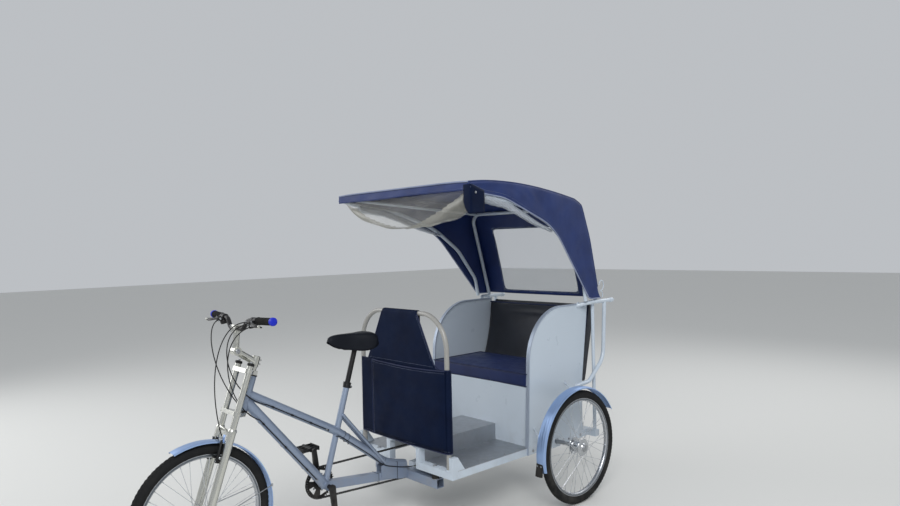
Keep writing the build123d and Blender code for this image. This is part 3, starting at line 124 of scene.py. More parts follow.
class RickshawColours(bpy.types.PropertyGroup):
    """Colours of the finishes."""

    frame: colour_setting("Frame", "Paint of the bicycle frame", "#8491A6")
    cab: colour_setting("Cab", "Paint of the cab and its panels", "#BCC7D2")
    hoop: colour_setting("Hoop", "Paint of the front hoop", "#92918D")
    # Mudguard colour: the pale blue is a painted reflection of the sky on the polished metal
    guard: colour_setting("Mudguards", "Polished metal of the mudguards", "#9DB8E2")
    fork: colour_setting("Fork", "Plated metal of the fork", "#CDCDC6")
    canopy: colour_setting("Canopy", "Coated cloth of the canopy", "#1F3164")
    screen: colour_setting("Screen", "Coated cloth of the front screen", "#0B1730")
    seat: colour_setting("Seat", "Cover of the seat cushion", "#1E2A52")
    back: colour_setting("Back", "Cover of the back cushion", "#2B2E35")
    end_caps: colour_setting("End Caps", "Plastic caps of the grips", "#1526B0")


# Materials

MATERIALS = {}


def add_node(tree, kind, settings, inputs):
    """Adds a node with its settings, and with a value or a link for each socket named."""
    node = tree.nodes.new(kind)
    for name, value in settings.items():
        setattr(node, name, value)
    for name, value in inputs.items():
        if isinstance(value, bpy.types.NodeSocket):
            tree.links.new(value, node.inputs[name])
        else:
            node.inputs[name].default_value = value
    return node


def start_material(name, colour, roughness, metallic=0.0, **values):
    """Material under its name, with the constants on the shader's own sockets."""
    made = bpy.data.materials.new(name)
    made.use_nodes = True
    made.diffuse_color = colour
    shader = made.node_tree.nodes["Principled BSDF"]
    values.update({"Base Color": colour, "Roughness": roughness, "Metallic": metallic})
    for socket, value in values.items():
        shader.inputs[socket].default_value = value
    MATERIALS[name] = made
    return made.node_tree, shader


def mottle(tree, size_mm, detail, spread=(0.0, 1.0, 0.0, 1.0), stretch=(1, 1, 1)):
    """Value that varies over the surface in patches of this real size, spread from one range to another."""
    place = add_node(tree, "ShaderNodeTexCoord", {}, {})
    scale = tuple(1000 / (size_mm * s) for s in stretch)
    mapped = add_node(tree, "ShaderNodeMapping", {}, {"Vector": place.outputs["Object"], "Scale": scale})
    field = {"Vector": mapped.outputs["Vector"], "Scale": 1.0, "Detail": detail, "Roughness": 0.5}
    patches = add_node(tree, "ShaderNodeTexNoise", {}, field)
    ends = dict(zip(("From Min", "From Max", "To Min", "To Max"), spread))
    ranged = add_node(tree, "ShaderNodeMapRange", {}, {"Value": patches.outputs["Fac"], **ends})
    return ranged.outputs["Result"]


def dust(tree, base, colour, amount, top):
    """Colour with patches of dry road dust over it, thicker towards the ground."""
    patches = mottle(tree, 60, 5.0, (0.42, 0.66, 0.0, amount))
    place = add_node(tree, "ShaderNodeTexCoord", {}, {})
    split = add_node(tree, "ShaderNodeSeparateXYZ", {}, {"Vector": place.outputs["Object"]})
    fade = {"Value": split.outputs["Z"], "From Min": 0.2, "From Max": top, "To Min": 1.0, "To Max": 0.0}
    height = add_node(tree, "ShaderNodeMapRange", {}, fade)
    share = {0: patches, 1: height.outputs["Result"]}
    cover = add_node(tree, "ShaderNodeMath", {"operation": "MULTIPLY"}, share)
    colours = {"Factor": cover.outputs["Value"], "A": base, "B": linear(colour)}
    return add_node(tree, "ShaderNodeMix", {"data_type": "RGBA"}, colours).outputs["Result"]


def painted(name, colour, roughness, metallic, dirt):
    """Sprayed enamel on steel: faint orange peel, slightly uneven gloss and road dust low down."""
    coat = {"Coat Weight": 0.35, "Coat Roughness": 0.12}
    tree, shader = start_material(name, colour, roughness, metallic, **coat)
    peel = {"Height": mottle(tree, 5, 1.0), "Distance": 0.000018}
    peeled = add_node(tree, "ShaderNodeBump", {}, peel)
    gloss = mottle(tree, 90, 3.0, (0.3, 0.7, roughness - 0.05, roughness + 0.09))
    tree.links.new(peeled.outputs["Normal"], shader.inputs["Normal"])
    tree.links.new(gloss, shader.inputs["Roughness"])
    tree.links.new(dust(tree, colour, "#8F8B84", dirt, 0.55), shader.inputs["Base Color"])


def bare_metal(name, colour, roughness, metallic=1.0, brush_mm=None, smudge=0.1, dirt=0.25):
    """Bare or plated metal: smudged gloss and, where it is drawn or brushed, fine long scratches."""
    tree, shader = start_material(name, colour, roughness, metallic)
    gloss = mottle(tree, 35, 4.0, (0.3, 0.7, max(0.02, roughness - 0.04), roughness + smudge))
    tree.links.new(gloss, shader.inputs["Roughness"])
    if brush_mm:
        scratches = {"Height": mottle(tree, brush_mm, 2.0, stretch=(1, 60, 1)), "Distance": 0.00001}
        brushed = add_node(tree, "ShaderNodeBump", {}, scratches)
        tree.links.new(brushed.outputs["Normal"], shader.inputs["Normal"])
    tree.links.new(dust(tree, colour, "#8F8B84", dirt, 0.55), shader.inputs["Base Color"])


def moulded(name, colour, roughness, grain_mm, depth_mm, dirt=0.3):
    """Moulded rubber or plastic: a fine matt grain, worn grey patches and dust held in them."""
    tree, shader = start_material(name, colour, roughness, **{"Specular IOR Level": 0.28})
    grain = {"Height": mottle(tree, grain_mm, 2.0), "Distance": depth_mm / 1000}
    grained = add_node(tree, "ShaderNodeBump", {}, grain)
    tree.links.new(grained.outputs["Normal"], shader.inputs["Normal"])
    worn = {
        "Factor": mottle(tree, 45, 4.0, (0.4, 0.75, 0.0, dirt * 0.4)), "A": colour, "B": linear("#5B5852")
    }
    faded = add_node(tree, "ShaderNodeMix", {"data_type": "RGBA"}, worn)
    tree.links.new(dust(tree, faded.outputs["Result"], "#77736B", dirt, 0.5), shader.inputs["Base Color"])


def coated_fabric(name, colour, faded, roughness, sheen=0.0, gloss=0.22):
    """Vinyl coat on woven cloth: a faint weave, drawn coarse at 0.9 mm, soft creases, faded patches and a
    sheen tinted blue as a painted reflection of the sky.
    """
    values = {"Specular IOR Level": gloss, "Sheen Weight": sheen, "Sheen Roughness": 0.35}
    # The blue Sheen Tint is a painted reflection of the sky in the cloth's sheen
    tree, shader = start_material(name, colour, roughness, **values, **{"Sheen Tint": linear("#7C93D8")})
    warp = {"Height": mottle(tree, 0.9, 0.0, stretch=(1, 9, 9)), "Distance": 0.00003}
    woven = add_node(tree, "ShaderNodeBump", {}, warp)
    weft = {"Height": mottle(tree, 0.9, 0.0, stretch=(9, 1, 1)), "Distance": 0.00003}
    woven = add_node(tree, "ShaderNodeBump", {}, {**weft, "Normal": woven.outputs["Normal"]})
    creases = {"Height": mottle(tree, 28, 3.0), "Distance": 0.00035, "Normal": woven.outputs["Normal"]}
    creased = add_node(tree, "ShaderNodeBump", {}, creases)
    patches = {"Factor": mottle(tree, 120, 4.0, (0.38, 0.68, 0.0, 0.6)), "A": colour, "B": linear(faded)}
    mixed = add_node(tree, "ShaderNodeMix", {"data_type": "RGBA"}, patches)
    tree.links.new(creased.outputs["Normal"], shader.inputs["Normal"])
    tree.links.new(mixed.outputs["Result"], shader.inputs["Base Color"])
    tree.links.new(
        mottle(tree, 55, 3.0, (0.3, 0.7, roughness - 0.07, roughness + 0.08)), shader.inputs["Roughness"]
    )


def clear_film(name, colour, alpha, slant):
    """Soft clear vinyl film: see-through face on, and whiter where it is seen at a slant."""
    tree, shader = start_material(name, colour, 0.12, IOR=1.5)
    ripples = {"Height": mottle(tree, 30, 2.0), "Distance": 0.00025}
    rippled = add_node(tree, "ShaderNodeBump", {}, ripples)
    edge = add_node(tree, "ShaderNodeLayerWeight", {}, {"Blend": 0.25})
    ends = {"From Min": 0.1, "From Max": 0.9, "To Min": alpha, "To Max": alpha + slant}
    cover = add_node(tree, "ShaderNodeMapRange", {}, {"Value": edge.outputs["Facing"], **ends})
    tree.links.new(rippled.outputs["Normal"], shader.inputs["Normal"])
    tree.links.new(cover.outputs["Result"], shader.inputs["Alpha"])


CAD_LOOK = {
    "tyre": "tyre_rubber",
    "wheel_steel": "rim_polished_aluminium",
    "drive_steel": "drive_steel",
    "frame_paint": "frame_enamel_silver",
    "cab_paint": "cab_enamel_white",
    "black_metal": "aluminium_black_anodised",
    "saddle_vinyl": "saddle_vinyl",
    "rubber": "rubber_moulded_black",
    "black_plastic": "plastic_moulded_black",
    "floor_aluminium": "floor_brushed_aluminium",
    "trim_aluminium": "trim_drawn_aluminium",
    "navy_vinyl": "canopy_coated_cloth",
    "grey_vinyl": "back_coated_cloth",
    "clear_vinyl": "vinyl_film_clear",
    "guard_steel": "guard_steel_painted_sky",
    "fork_metal": "fork_satin_chrome",
    "cable": "casing_extruded_pvc",
}
NODE_LOOK = {"hoop": "hoop_enamel_cream", "half_shaft_left": "bolt_zinc", "half_shaft_right": "bolt_zinc"}


def finishes(colours):
    """Every finish, with what each gives the eye."""
    # Vulcanised tyre rubber: matt black with road dust in the tread
    moulded("tyre_rubber", linear("#111214"), 0.8, 1.5, 0.05, 0.12)
    # Polished aluminium rim: bright, with soft smudges
    bare_metal("rim_polished_aluminium", linear("#B9BCC1"), 0.24)
    # Turned brake track: a duller grey ring of fine grooves
    bare_metal("rim_turned_track", linear("#6F757D"), 0.38, 1.0, 0.8)
    # Stainless spoke wire: thin bright lines
    bare_metal("spoke_steel", linear("#C9CCD1"), 0.25)
    # Polished hub shell: the brightest metal of the wheel
    bare_metal("hub_polished_aluminium", linear("#C2C5C9"), 0.2)
    # Zinc plated bolts: pale grey and slightly dull
    bare_metal("bolt_zinc", linear("#A6A9AD"), 0.32)
    # Oiled chain steel: dark with a low gleam
    bare_metal("drive_steel", linear("#2F2E2E"), 0.42, 0.85)
    # Metallic silver enamel: soft blue-grey gleam of the frame
    painted("frame_enamel_silver", tuple(colours.frame), 0.38, 0.35, 0.3)
    # White enamel: flat cool white of the cab
    painted("cab_enamel_white", tuple(colours.cab), 0.32, 0.0, 0.25)
    # Cream enamel: a duller, warmer coat on the hoop
    painted("hoop_enamel_cream", tuple(colours.hoop), 0.34, 0.0, 0.15)
    # Black anodised aluminium: satin near-black
    moulded("aluminium_black_anodised", linear("#151517"), 0.38, 0.6, 0.008, 0.15)
    # Moulded rubber: deep matt black
    moulded("rubber_moulded_black", linear("#121213"), 0.8, 1.2, 0.04, 0.12)
    # Moulded plastic: black with a slight shine
    moulded("plastic_moulded_black", linear("#18191B"), 0.5, 0.8, 0.02, 0.25)
    # Dyed plastic: saturated blue end caps
    moulded("plastic_moulded_blue", tuple(colours.end_caps), 0.42, 0.8, 0.01, 0.05)
    # Extruded casing: smooth black with a long highlight
    moulded("casing_extruded_pvc", linear("#101012"), 0.45, 1.0, 0.01, 0.1)
    # Brushed floor sheet: pale grey with a fine long grain
    bare_metal("floor_brushed_aluminium", linear("#AEB2B7"), 0.4, 1.0, 1.0, 0.16)
    # Drawn edge trim: light grey, half mirror
    bare_metal("trim_drawn_aluminium", linear("#A5B0C0"), 0.42, 0.45, 1.0, 0.06, 0.12)
    # Polished mudguard: its pale blue is a painted reflection of the sky
    bare_metal("guard_steel_painted_sky", tuple(colours.guard), 0.34, 0.75, None, 0.02, 0.05)
    # Satin chrome fork: bright with a warm grey tone
    bare_metal("fork_satin_chrome", tuple(colours.fork), 0.22, 0.95, None, 0.05, 0.1)
    # Vinyl coated polyester: navy with a soft sheen, tinted blue as a painted reflection of the sky, and
    # faded patches
    coated_fabric("canopy_coated_cloth", tuple(colours.canopy), "#1A2750", 0.46, 0.1, 0.26)
    # Heavier coated cloth of the screen: darker and more matt; also put on the canopy's corner flap as
    # painted shade
    coated_fabric("screen_coated_cloth", tuple(colours.screen), "#091024", 0.6, 0.0, 0.07)
    # Upholstery vinyl of the seat: smooth blue
    coated_fabric("seat_coated_cloth", tuple(colours.seat), "#192243", 0.42, 0.08, 0.26)
    # Upholstery vinyl of the back: dark grey
    coated_fabric("back_coated_cloth", tuple(colours.back), "#24262C", 0.46)
    # Saddle vinyl: black, slightly polished by use
    coated_fabric("saddle_vinyl", linear("#11141B"), "#171A22", 0.46, 0.0, 0.14)
    # Woven edge tape: grey line along the hem
    coated_fabric("hem_tape_grey", linear("#8790A8"), "#6E7790", 0.5)
    # Covered cord: dark welt in the seams
    coated_fabric("welt_cord_navy", linear("#1E2746"), "#171F3A", 0.48)
    # Clear vinyl film, drawn up: barely seen but for its bright folds
    clear_film("vinyl_film_clear", linear("#CFCFC9"), 0.06, 0.17)
    # The same film folded over itself: milky
    clear_film("vinyl_film_folded", linear("#A8A79E"), 0.42, 0.28)
    # The same film in a roll: many layers that read as pale grey
    clear_film("vinyl_film_rolled", linear("#C9D0D9"), 0.3, 0.35)
    # Window film: slightly blue and scuffed
    clear_film("vinyl_film_window", linear("#A9B6C6"), 0.12, 0.22)
    slots = {part["node"]: part["material_slot"] for part in frame["record"]["subparts"]}
    for name, solid in frame["nodes"].items():
        solid.data.materials.clear()
        solid.data.materials.append(MATERIALS[NODE_LOOK.get(name, CAD_LOOK[slots[name]])])
        solid.data.shade_smooth()
        solid.data.set_sharp_from_angle(angle=radians(38))


class MakeMaterials(bpy.types.Operator):
    """Makes every finish, each named for the real material, and dresses the solid parts in them."""

    bl_idname = "rickshaw.materials"
    bl_label = "Materials"

    def execute(self, context):
        finishes(context.scene.rickshaw_colours)
        return {"FINISHED"}


# Shape helpers


def smooth_points(points, per_run=6):
    """Catmull-Rom samples through the points."""
    points = [Vector(p) for p in points]
    ends = [points[0] * 2 - points[1]] + points + [points[-1] * 2 - points[-2]]
    made = []
    for a, b, c, d in zip(ends, ends[1:], ends[2:], ends[3:]):
        for step in range(per_run):
            t = step / per_run
            made.append(
                0.5
                * (
                    2 * b + (c - a) * t + (2 * a - 5 * b + 4 * c - d) * t * t
                    + (3 * b - a - 3 * c + d) * t**3
                )
            )
    return made + [points[-1]]


def bent_path(points, radii, step=radians(9)):
    """Straight runs joined by tangent arcs, sampled along each arc."""
    points = [Vector(p) for p in points]
    made = [points[0]]
    for before, corner, after, radius in zip(points, points[1:], points[2:], radii):
        back = (before - corner).normalized()
        on = (after - corner).normalized()
        turn = pi - back.angle(on)
        reach = radius * tan(turn / 2)
        middle = corner + (back + on).normalized() * (radius / cos(turn / 2))
        first = corner + back * reach - middle
        axis = back.cross(on).normalized()
        count = max(2, ceil(turn / step))
        for number in range(count + 1):
            made.append(middle + Matrix.Rotation(-turn * number / count, 3, axis) @ first)
    return made + [points[-1]]


def swoop(start, start_pull, end_pull, end, count):
    """Points along a cubic curve from start to end, shaped by the two pull points."""
    made = []
    for number in range(count + 1):
        t = number / count
        weights = ((1 - t) ** 3, 3 * t * (1 - t) ** 2, 3 * t * t * (1 - t), t**3)
        made.append(
            sum((w * Vector(p) for w, p in zip(weights, (start, start_pull, end_pull, end))), Vector())
        )
    return made


def frames_along(points, closed=False):
    """Tangent, side and up at each point, without twist."""
    points = [Vector(p) for p in points]
    count = len(points)
    tangents = []
    for i in range(count):
        before = points[i - 1] if i or closed else points[i]
        after = points[(i + 1) % count] if i < count - 1 or closed else points[i]
        tangents.append((after - before).normalized())
    side = tangents[0].orthogonal().normalized()
    made = []
    for tangent in tangents:
        side = (side - tangent * side.dot(tangent)).normalized()
        made.append((tangent, side, tangent.cross(side)))
    return made


def add_shape(bm, part, look):
    """Joins a finished shape to its piece, facing outwards, with its material's number."""
    bmesh.ops.recalc_face_normals(part, faces=part.faces[:])
    for face in part.faces:
        face.material_index = look
    copy = bpy.data.meshes.new("shape")
    part.to_mesh(copy)
    part.free()
    bm.from_mesh(copy)
    bpy.data.meshes.remove(copy)


def draped(bm, rows):
    """Grid laid on rows of places; returns its vertices in the same rows."""
    across = len(rows[0])
    made = bmesh.ops.create_grid(bm, x_segments=across - 1, y_segments=len(rows) - 1, size=0.5)["verts"]
    for vert, place in zip(made, [place for row in rows for place in row]):
        vert.co = place
    return [made[start : start + across] for start in range(0, len(made), across)]


def loft(bm, rings, look=0):
    """Closed rings of points bridged one to the next, with both ends filled."""
    part = bmesh.new()
    loops = []
    for ring in rings:
        verts = [part.verts.new(place) for place in ring]
        loops.append([part.edges.new(pair) for pair in zip(verts, verts[1:] + verts[:1])])
    for low, high in zip(loops, loops[1:]):
        bmesh.ops.bridge_loops(part, edges=low + high)
    bmesh.ops.holes_fill(part, edges=loops[0] + loops[-1])
    add_shape(bm, part, look)


def tube(bm, points, radius, sides=12, closed=False, look=0, flat=1.0):
    """Rod extruded along points; radius is one number or one per point, and flat squeezes it one way."""
    points = [Vector(p) for p in points]
    radii = radius if isinstance(radius, (list, tuple)) else [radius] * len(points)
    places = []
    for place, r, (tangent, side, up) in zip(points, radii, frames_along(points, closed)):
        turn = Matrix((side * r, up * (r * flat), tangent * r)).transposed().to_4x4()
        places.append(Matrix.Translation(place) @ turn)
    part = bmesh.new()
    bmesh.ops.create_circle(part, segments=sides, radius=1.0, matrix=places[0])
    start = ring = part.edges[:]
    for before, after in zip(places, places[1:]):
        grown = bmesh.ops.extrude_edge_only(part, edges=ring)["geom"]
        ring = [item for item in grown if isinstance(item, bmesh.types.BMEdge)]
        verts = [item for item in grown if isinstance(item, bmesh.types.BMVert)]
        bmesh.ops.transform(part, matrix=after @ before.inverted(), verts=verts)
    if closed:
        bmesh.ops.bridge_loops(part, edges=start + ring)
    else:
        bmesh.ops.holes_fill(part, edges=start + ring)
    add_shape(bm, part, look)


def turned(bm, profile, centre, axis, segments=24, look=0, ring=False):
    """Spins (along, radius) pairs round an axis: a solid with flat ends, or a closed ring."""
    axis = Vector(axis).normalized()
    out = axis.orthogonal().normalized()
    part = bmesh.new()
    verts = [part.verts.new(Vector(centre) + axis * along + out * r) for along, r in profile]
    edges = [part.edges.new(pair) for pair in zip(verts, verts[1:] + (verts[:1] if ring else []))]
    turn = {"cent": centre, "axis": axis, "angle": 2 * pi, "steps": segments, "use_merge": True}
    bmesh.ops.spin(part, geom=verts + edges, **turn)
    if not ring:
        bmesh.ops.holes_fill(part, edges=part.edges[:])
    add_shape(bm, part, look)


def slab(bm, centre, size, axes=None, bevel=0.0, look=0):
    """Box by centre and size, turned to the given axes, with bevelled edges."""
    turn = Matrix(axes).transposed().to_4x4() if axes else Matrix.Identity(4)
    place = Matrix.Translation(Vector(centre)) @ turn @ Matrix.Diagonal((*size, 1.0))
    part = bmesh.new()
    bmesh.ops.create_cube(part, size=1.0, matrix=place)
    if bevel:
        edges = part.edges[:]
        bmesh.ops.bevel(
            part, geom=edges, offset=bevel, segments=2, profile=0.5, affect="EDGES", material=-1
        )
    add_shape(bm, part, look)


def bolt(bm, place, axis, radius, look=0):
    """Hexagon head with a domed top on a washer."""
    washer = [(0, 1.7), (0.25, 1.7), (0.3, 1.6)]
    head = [(0.3, 1), (0.95, 1), (1.1, 0.8)]
    for profile, sides in ((washer, 16), (head, 6)):
        turned(bm, [(along * radius, r * radius) for along, r in profile], place, axis, sides, look)


def piece(name, bm, looks, sharp, body="chassis", stands_for=()):
    """Turns a bmesh into an object that rides on a body."""
    mesh = bpy.data.meshes.new(name)
    bmesh.ops.recalc_face_normals(bm, faces=bm.faces)
    bm.to_mesh(mesh)
    bm.free()
    for look in looks if isinstance(looks, (list, tuple)) else [looks]:
        mesh.materials.append(MATERIALS[look])
    mesh.shade_smooth()
    mesh.set_sharp_from_angle(angle=radians(sharp))
    made = bpy.data.objects.new(name, mesh)
    bpy.context.scene.collection.objects.link(made)
    if body:
        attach(made, body)
    if stands_for:
        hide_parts(*stands_for)
    return made


HEAD_TURN = radians(71.2)
STEER_AXIS = Vector((0, cos(HEAD_TURN), sin(HEAD_TURN)))
STEER_AHEAD = Vector((0, -sin(HEAD_TURN), cos(HEAD_TURN)))
STEER_FRAME = ((1, 0, 0), tuple(STEER_AHEAD), tuple(STEER_AXIS))
STEER_ROOT = at(0, WHEELBASE, WHEEL_R) - STEER_AHEAD * 0.05


def on_steer(left, forward, up):
    """Point along the steering axis, and ahead of it at a right angle."""
    return STEER_ROOT + Vector((left, 0, 0)) + STEER_AHEAD * forward + STEER_AXIS * up


# Wheels


def tyre(name, hub, body, node):
    """Tyre with a smooth carcass and small staggered tread blocks."""
    bm = bmesh.new()
    section = 0.305
    carcass = 0.024
    profile = [(carcass * cos(radians(a)), section + carcass * sin(radians(a))) for a in range(0, 360, 18)]
    turned(bm, profile, hub, (1, 0, 0), 96, ring=True)
    for ring_x in (-0.0135, 0.0135):
        bead = [(ring_x + 0.0008 * cos(a), 0.2868 + 0.0008 * sin(a)) for a in (0, 1.57, 3.14, 4.71)]
        turned(bm, bead, hub, (1, 0, 0), 96, ring=True)
    blocks = bpy.context.scene.rickshaw_sizes.tread_blocks
    for row, (lean, width) in enumerate(((90, 11), (66, 9), (114, 9), (43, 10), (137, 10))):
        for number in range(blocks):
            turn = 2 * pi * (number + 0.5 * (row % 2)) / blocks
            half = pi / blocks * (0.62 if row < 3 else 0.5)
            for vert in bmesh.ops.create_cube(bm, size=2.0)["verts"]:
                across, along, out = vert.co
                reach, shrink = (0.025, 0.84) if out > 0 else (carcass - 0.0004, 1.0)
                a = radians(lean + across * width / 2 * shrink)
                b = turn + along * half * shrink
                r = section + reach * sin(a)
                vert.co = hub + Vector((reach * cos(a), r * sin(b), r * cos(b)))
    return piece(name, bm, "tyre_rubber", 30, body, stands_for=[node])


RIM = [
    (-0.013, 0.284), (-0.0114, 0.2846), (-0.0105, 0.2775), (0.0105, 0.2775), (0.0114, 0.2846),
    (0.013, 0.284), (0.013, 0.2822), (0.0126, 0.2815), (0.0126, 0.2735), (0.012, 0.2722),
    (0.0085, 0.268), (0.004, 0.2662), (-0.004, 0.2662), (-0.0085, 0.268), (-0.012, 0.2722),
    (-0.0126, 0.2735), (-0.0126, 0.2815), (-0.013, 0.2822),
]


def wheel(name, hub, body, node, hub_r, flange_r, flange_x, hub_half):
    """Polished rim, laced spokes with nipples and elbows, flanged hub and valve."""
    sizes = bpy.context.scene.rickshaw_sizes
    bm = bmesh.new()
    turned(bm, RIM, hub, (1, 0, 0), 108, ring=True)
    for face in bm.faces:
        middle = face.calc_center_median() - hub
        if abs(middle.x) > 0.012 and 0.2738 < hypot(middle.y, middle.z) < 0.2812:
            face.material_index = 3
    for number in range(sizes.spokes):
        side = 1 if number % 2 else -1
        lean = 1 if (number // 2) % 2 else -1
        rim_turn = 2 * pi * number / sizes.spokes
        hub_turn = rim_turn + lean * radians(62)
        hole = flange_r - 0.004
        root = hub + Vector((side * (flange_x + lean * 0.0014), hole * cos(hub_turn), hole * sin(hub_turn)))
        tip = hub + Vector((side * 0.003, 0.2675 * cos(rim_turn), 0.2675 * sin(rim_turn)))
        run = (root - tip).normalized()
        tube(bm, [root, tip], sizes.spoke_radius, 6, look=1)
        tube(bm, [root - Vector((side * lean * 0.0042, 0, 0)), root], [0.002, 0.0013], 6, look=1)
        tube(bm, [tip, tip + run * 0.005, tip + run * 0.012], [0.0028, 0.0026, 0.0018], 6, look=1)
    flange_edge = flange_r - 0.001
    half = [
        (hub_half, 0.0075), (hub_half, hub_r * 0.62), (hub_half - 0.004, hub_r * 0.72),
        (flange_x + 0.005, hub_r * 0.78), (flange_x + 0.003, hub_r), (flange_x + 0.0016, flange_edge),
        (flange_x, flange_r), (flange_x - 0.0016, flange_edge), (flange_x - 0.003, hub_r),
        (flange_x - 0.008, hub_r * 0.9), (0.006, hub_r * 0.84),
    ]
    whole = half + [(-along, r) for along, r in reversed(half)]
    turned(bm, whole, hub, (1, 0, 0), 40, look=2)
    for side in (1, -1):
        for k in range(sizes.spokes // 2):
            turn = 4 * pi * (k + 0.5) / sizes.spokes
            place = hub + Vector(
                (
                    side * (flange_x + 0.0016), (flange_r - 0.004) * cos(turn),
                    (flange_r - 0.004) * sin(turn),
                )
            )
            turned(bm, [(0, 0.0022), (0.0012, 0.0018)], place, (side, 0, 0), 8, look=1)
    turn = pi / sizes.spokes
    out = Vector((0, cos(turn), sin(turn)))
    turned(
        bm, [(0, 0.003), (0.005, 0.003), (0.006, 0.0022), (0.034, 0.0022), (0.036, 0.0015)],
        hub + out * 0.2675, -out, 10, look=1,
    )
    looks = ["rim_polished_aluminium", "spoke_steel", "hub_polished_aluminium", "rim_turned_track"]
    return piece(name, bm, looks, 40, body, stands_for=[node])


def wheels():
    """Front wheel and rear wheels with their tyres."""
    front = at(0, WHEELBASE, WHEEL_R)
    tyre("tyre_front", front, "front_wheel_body", "front_tyre")
    wheel("wheel_front", front, "front_wheel_body", "front_wheel", 0.019, 0.032, 0.03, 0.0395)
    for word, side in (("left", 1), ("right", -1)):
        hub = at(side * HALF_TRACK, 0, WHEEL_R)
        body = f"rear_wheel_{word}_body"
        tyre(f"tyre_rear_{word}", hub, body, f"rear_tyre_{word}")
        wheel(f"wheel_rear_{word}", hub, body, f"rear_wheel_{word}", 0.034, 0.05, 0.03, 0.042)
        bm = bmesh.new()
        end = hub + Vector((side * 0.042, 0, 0))
        turned(bm, [(0, 0.021), (0.006, 0.021), (0.009, 0.018), (0.01, 0.014)], end, (side, 0, 0), 24)
        turned(bm, [(0.003, 0.0115), (0.012, 0.0115), (0.0135, 0.009)], end, (side, 0, 0), 6)
        piece(f"axle_nut_{word}", bm, "bolt_zinc", 30, body)


class BuildWheels(bpy.types.Operator):
    """Tyres, rims, laced spokes, hubs and axle nuts."""

    bl_idname = "rickshaw.wheels"
    bl_label = "Wheels"

    def execute(self, context):
        wheels()
        return {"FINISHED"}


# Soft goods


def lerp(a, b, t):
    return a + (b - a) * t


def arc_lengths(points):
    """Running length at each point of a path."""
    made = [0.0]
    for p, q in zip(points, points[1:]):
        made.append(made[-1] + (q - p).length)
    return made


def along_path(points, lengths, place):
    """Point at a running length."""
    for p, q, low, high in zip(points, points[1:], lengths, lengths[1:]):
        if place <= high:
            return p.lerp(q, (place - low) / max(high - low, 1e-9))
    return points[-1].copy()


def nearest_length(points, lengths, target):
    """Running length of the path's place closest to a target."""
    best = (1e9, 0.0)
    for p, q, low, high in zip(points, points[1:], lengths, lengths[1:]):
        run = q - p
        t = min(1.0, max(0.0, (target - p).dot(run) / max(run.length_squared, 1e-12)))
        best = min(best, ((p.lerp(q, t) - target).length, lerp(low, high, t)))
    return best[1]


def wave(x, y, z, size, seed=0.0):
    """Smooth noise between -1 and 1 with features of about this size in metres."""
    return noise.noise(Vector((x, y, z)) / size + Vector((seed, seed * 1.7, -seed)))


def thicken(piece_object, thickness, offset=-1.0):
    """Gives a sheet its thickness."""
    layer = piece_object.modifiers.new("thickness", "SOLIDIFY")
    layer.thickness = thickness
    layer.offset = offset
    layer.use_even_offset = False


def stitches(bm, points, pitch=0.007, length=0.0045, radius=0.0006, look=0):
    """Row of short sewn stitches along a path."""
    points = [Vector(p) for p in points]
    lengths = arc_lengths(points)
    count = int(lengths[-1] / pitch)
    for k in range(count):
        a = along_path(points, lengths, (k + 0.5) * pitch - length / 2)
        b = along_path(points, lengths, (k + 0.5) * pitch + length / 2)
        if (b - a).length > length * 0.3:
            tube(bm, [a, (a + b) / 2, b], [radius * 0.4, radius, radius * 0.4], 4, look=look)


CANOPY_FRONT = 0.86
CANOPY_KNEE = -0.206
CANOPY_BASE = -0.383
FRONT_HALF = 0.588
KNEE_HALF = 0.498
BASE_HALF = 0.487
ROOF_CORNER_R = 0.02
CANOPY_KEYS = [
    ((0.859, 1.861), (0.859, 1.828)),
    ((0.745, 1.868), (0.745, 1.797)),
    ((0.573, 1.872), (0.573, 1.783)),
    ((0.38, 1.87), (0.33, 1.713)),
    ((0.15, 1.852), (0.113, 1.63)),
    ((-0.121, 1.807), (-0.01, 1.492)),
    ((-0.206, 1.773), (-0.07, 1.424)),
    ((-0.2608, 1.64), (-0.14, 1.345)),
    ((-0.342, 1.375), (-0.236, 1.215)),
    ((-0.384, 1.212), (-0.352, 1.182)),
    ((-0.392, 1.182), (-0.392, 1.18)),
]
CANOPY_STEPS = [4, 5, 5, 6, 6, 3, 5, 6, 4, 1]


def canopy_half(forward):
    """Half width of the canopy at a place ahead of the rear axle."""
    if forward > CANOPY_KNEE:
        return lerp(KNEE_HALF, FRONT_HALF, (forward - CANOPY_KNEE) / (CANOPY_FRONT - CANOPY_KNEE))
    return lerp(BASE_HALF, KNEE_HALF, (forward - CANOPY_BASE) / (CANOPY_KNEE - CANOPY_BASE))


def canopy_paths():
    """Roof and rear wall line, and hem line, as points (0, ahead, up)."""
    front, middle, back = (Vector((0, f, u)) for f, u in ((0.859, 1.861), (0.427, 1.872), (-0.121, 1.807)))
    roof = []
    for k in range(25):
        t = k / 24
        control = middle * 2 - (front + back) / 2
        roof.append(front * (1 - t) ** 2 + control * 2 * t * (1 - t) + back * t * t)
    bends = [(-0.121, 1.807), (-0.206, 1.773), (-0.293, 1.562), (-0.392, 1.182)]
    wall = bent_path([Vector((0, f, u)) for f, u in bends], [0.06, 0.5], radians(8))
    hem_bends = [
        (0.859, 1.828), (0.745, 1.797), (0.573, 1.783), (0.113, 1.63), (-0.262, 1.18), (-0.392, 1.18)
    ]
    hem = bent_path([Vector((0, f, u)) for f, u in hem_bends], [0.1, 0.35, 0.45, 0.03], radians(5))
    return roof + wall[1:], hem


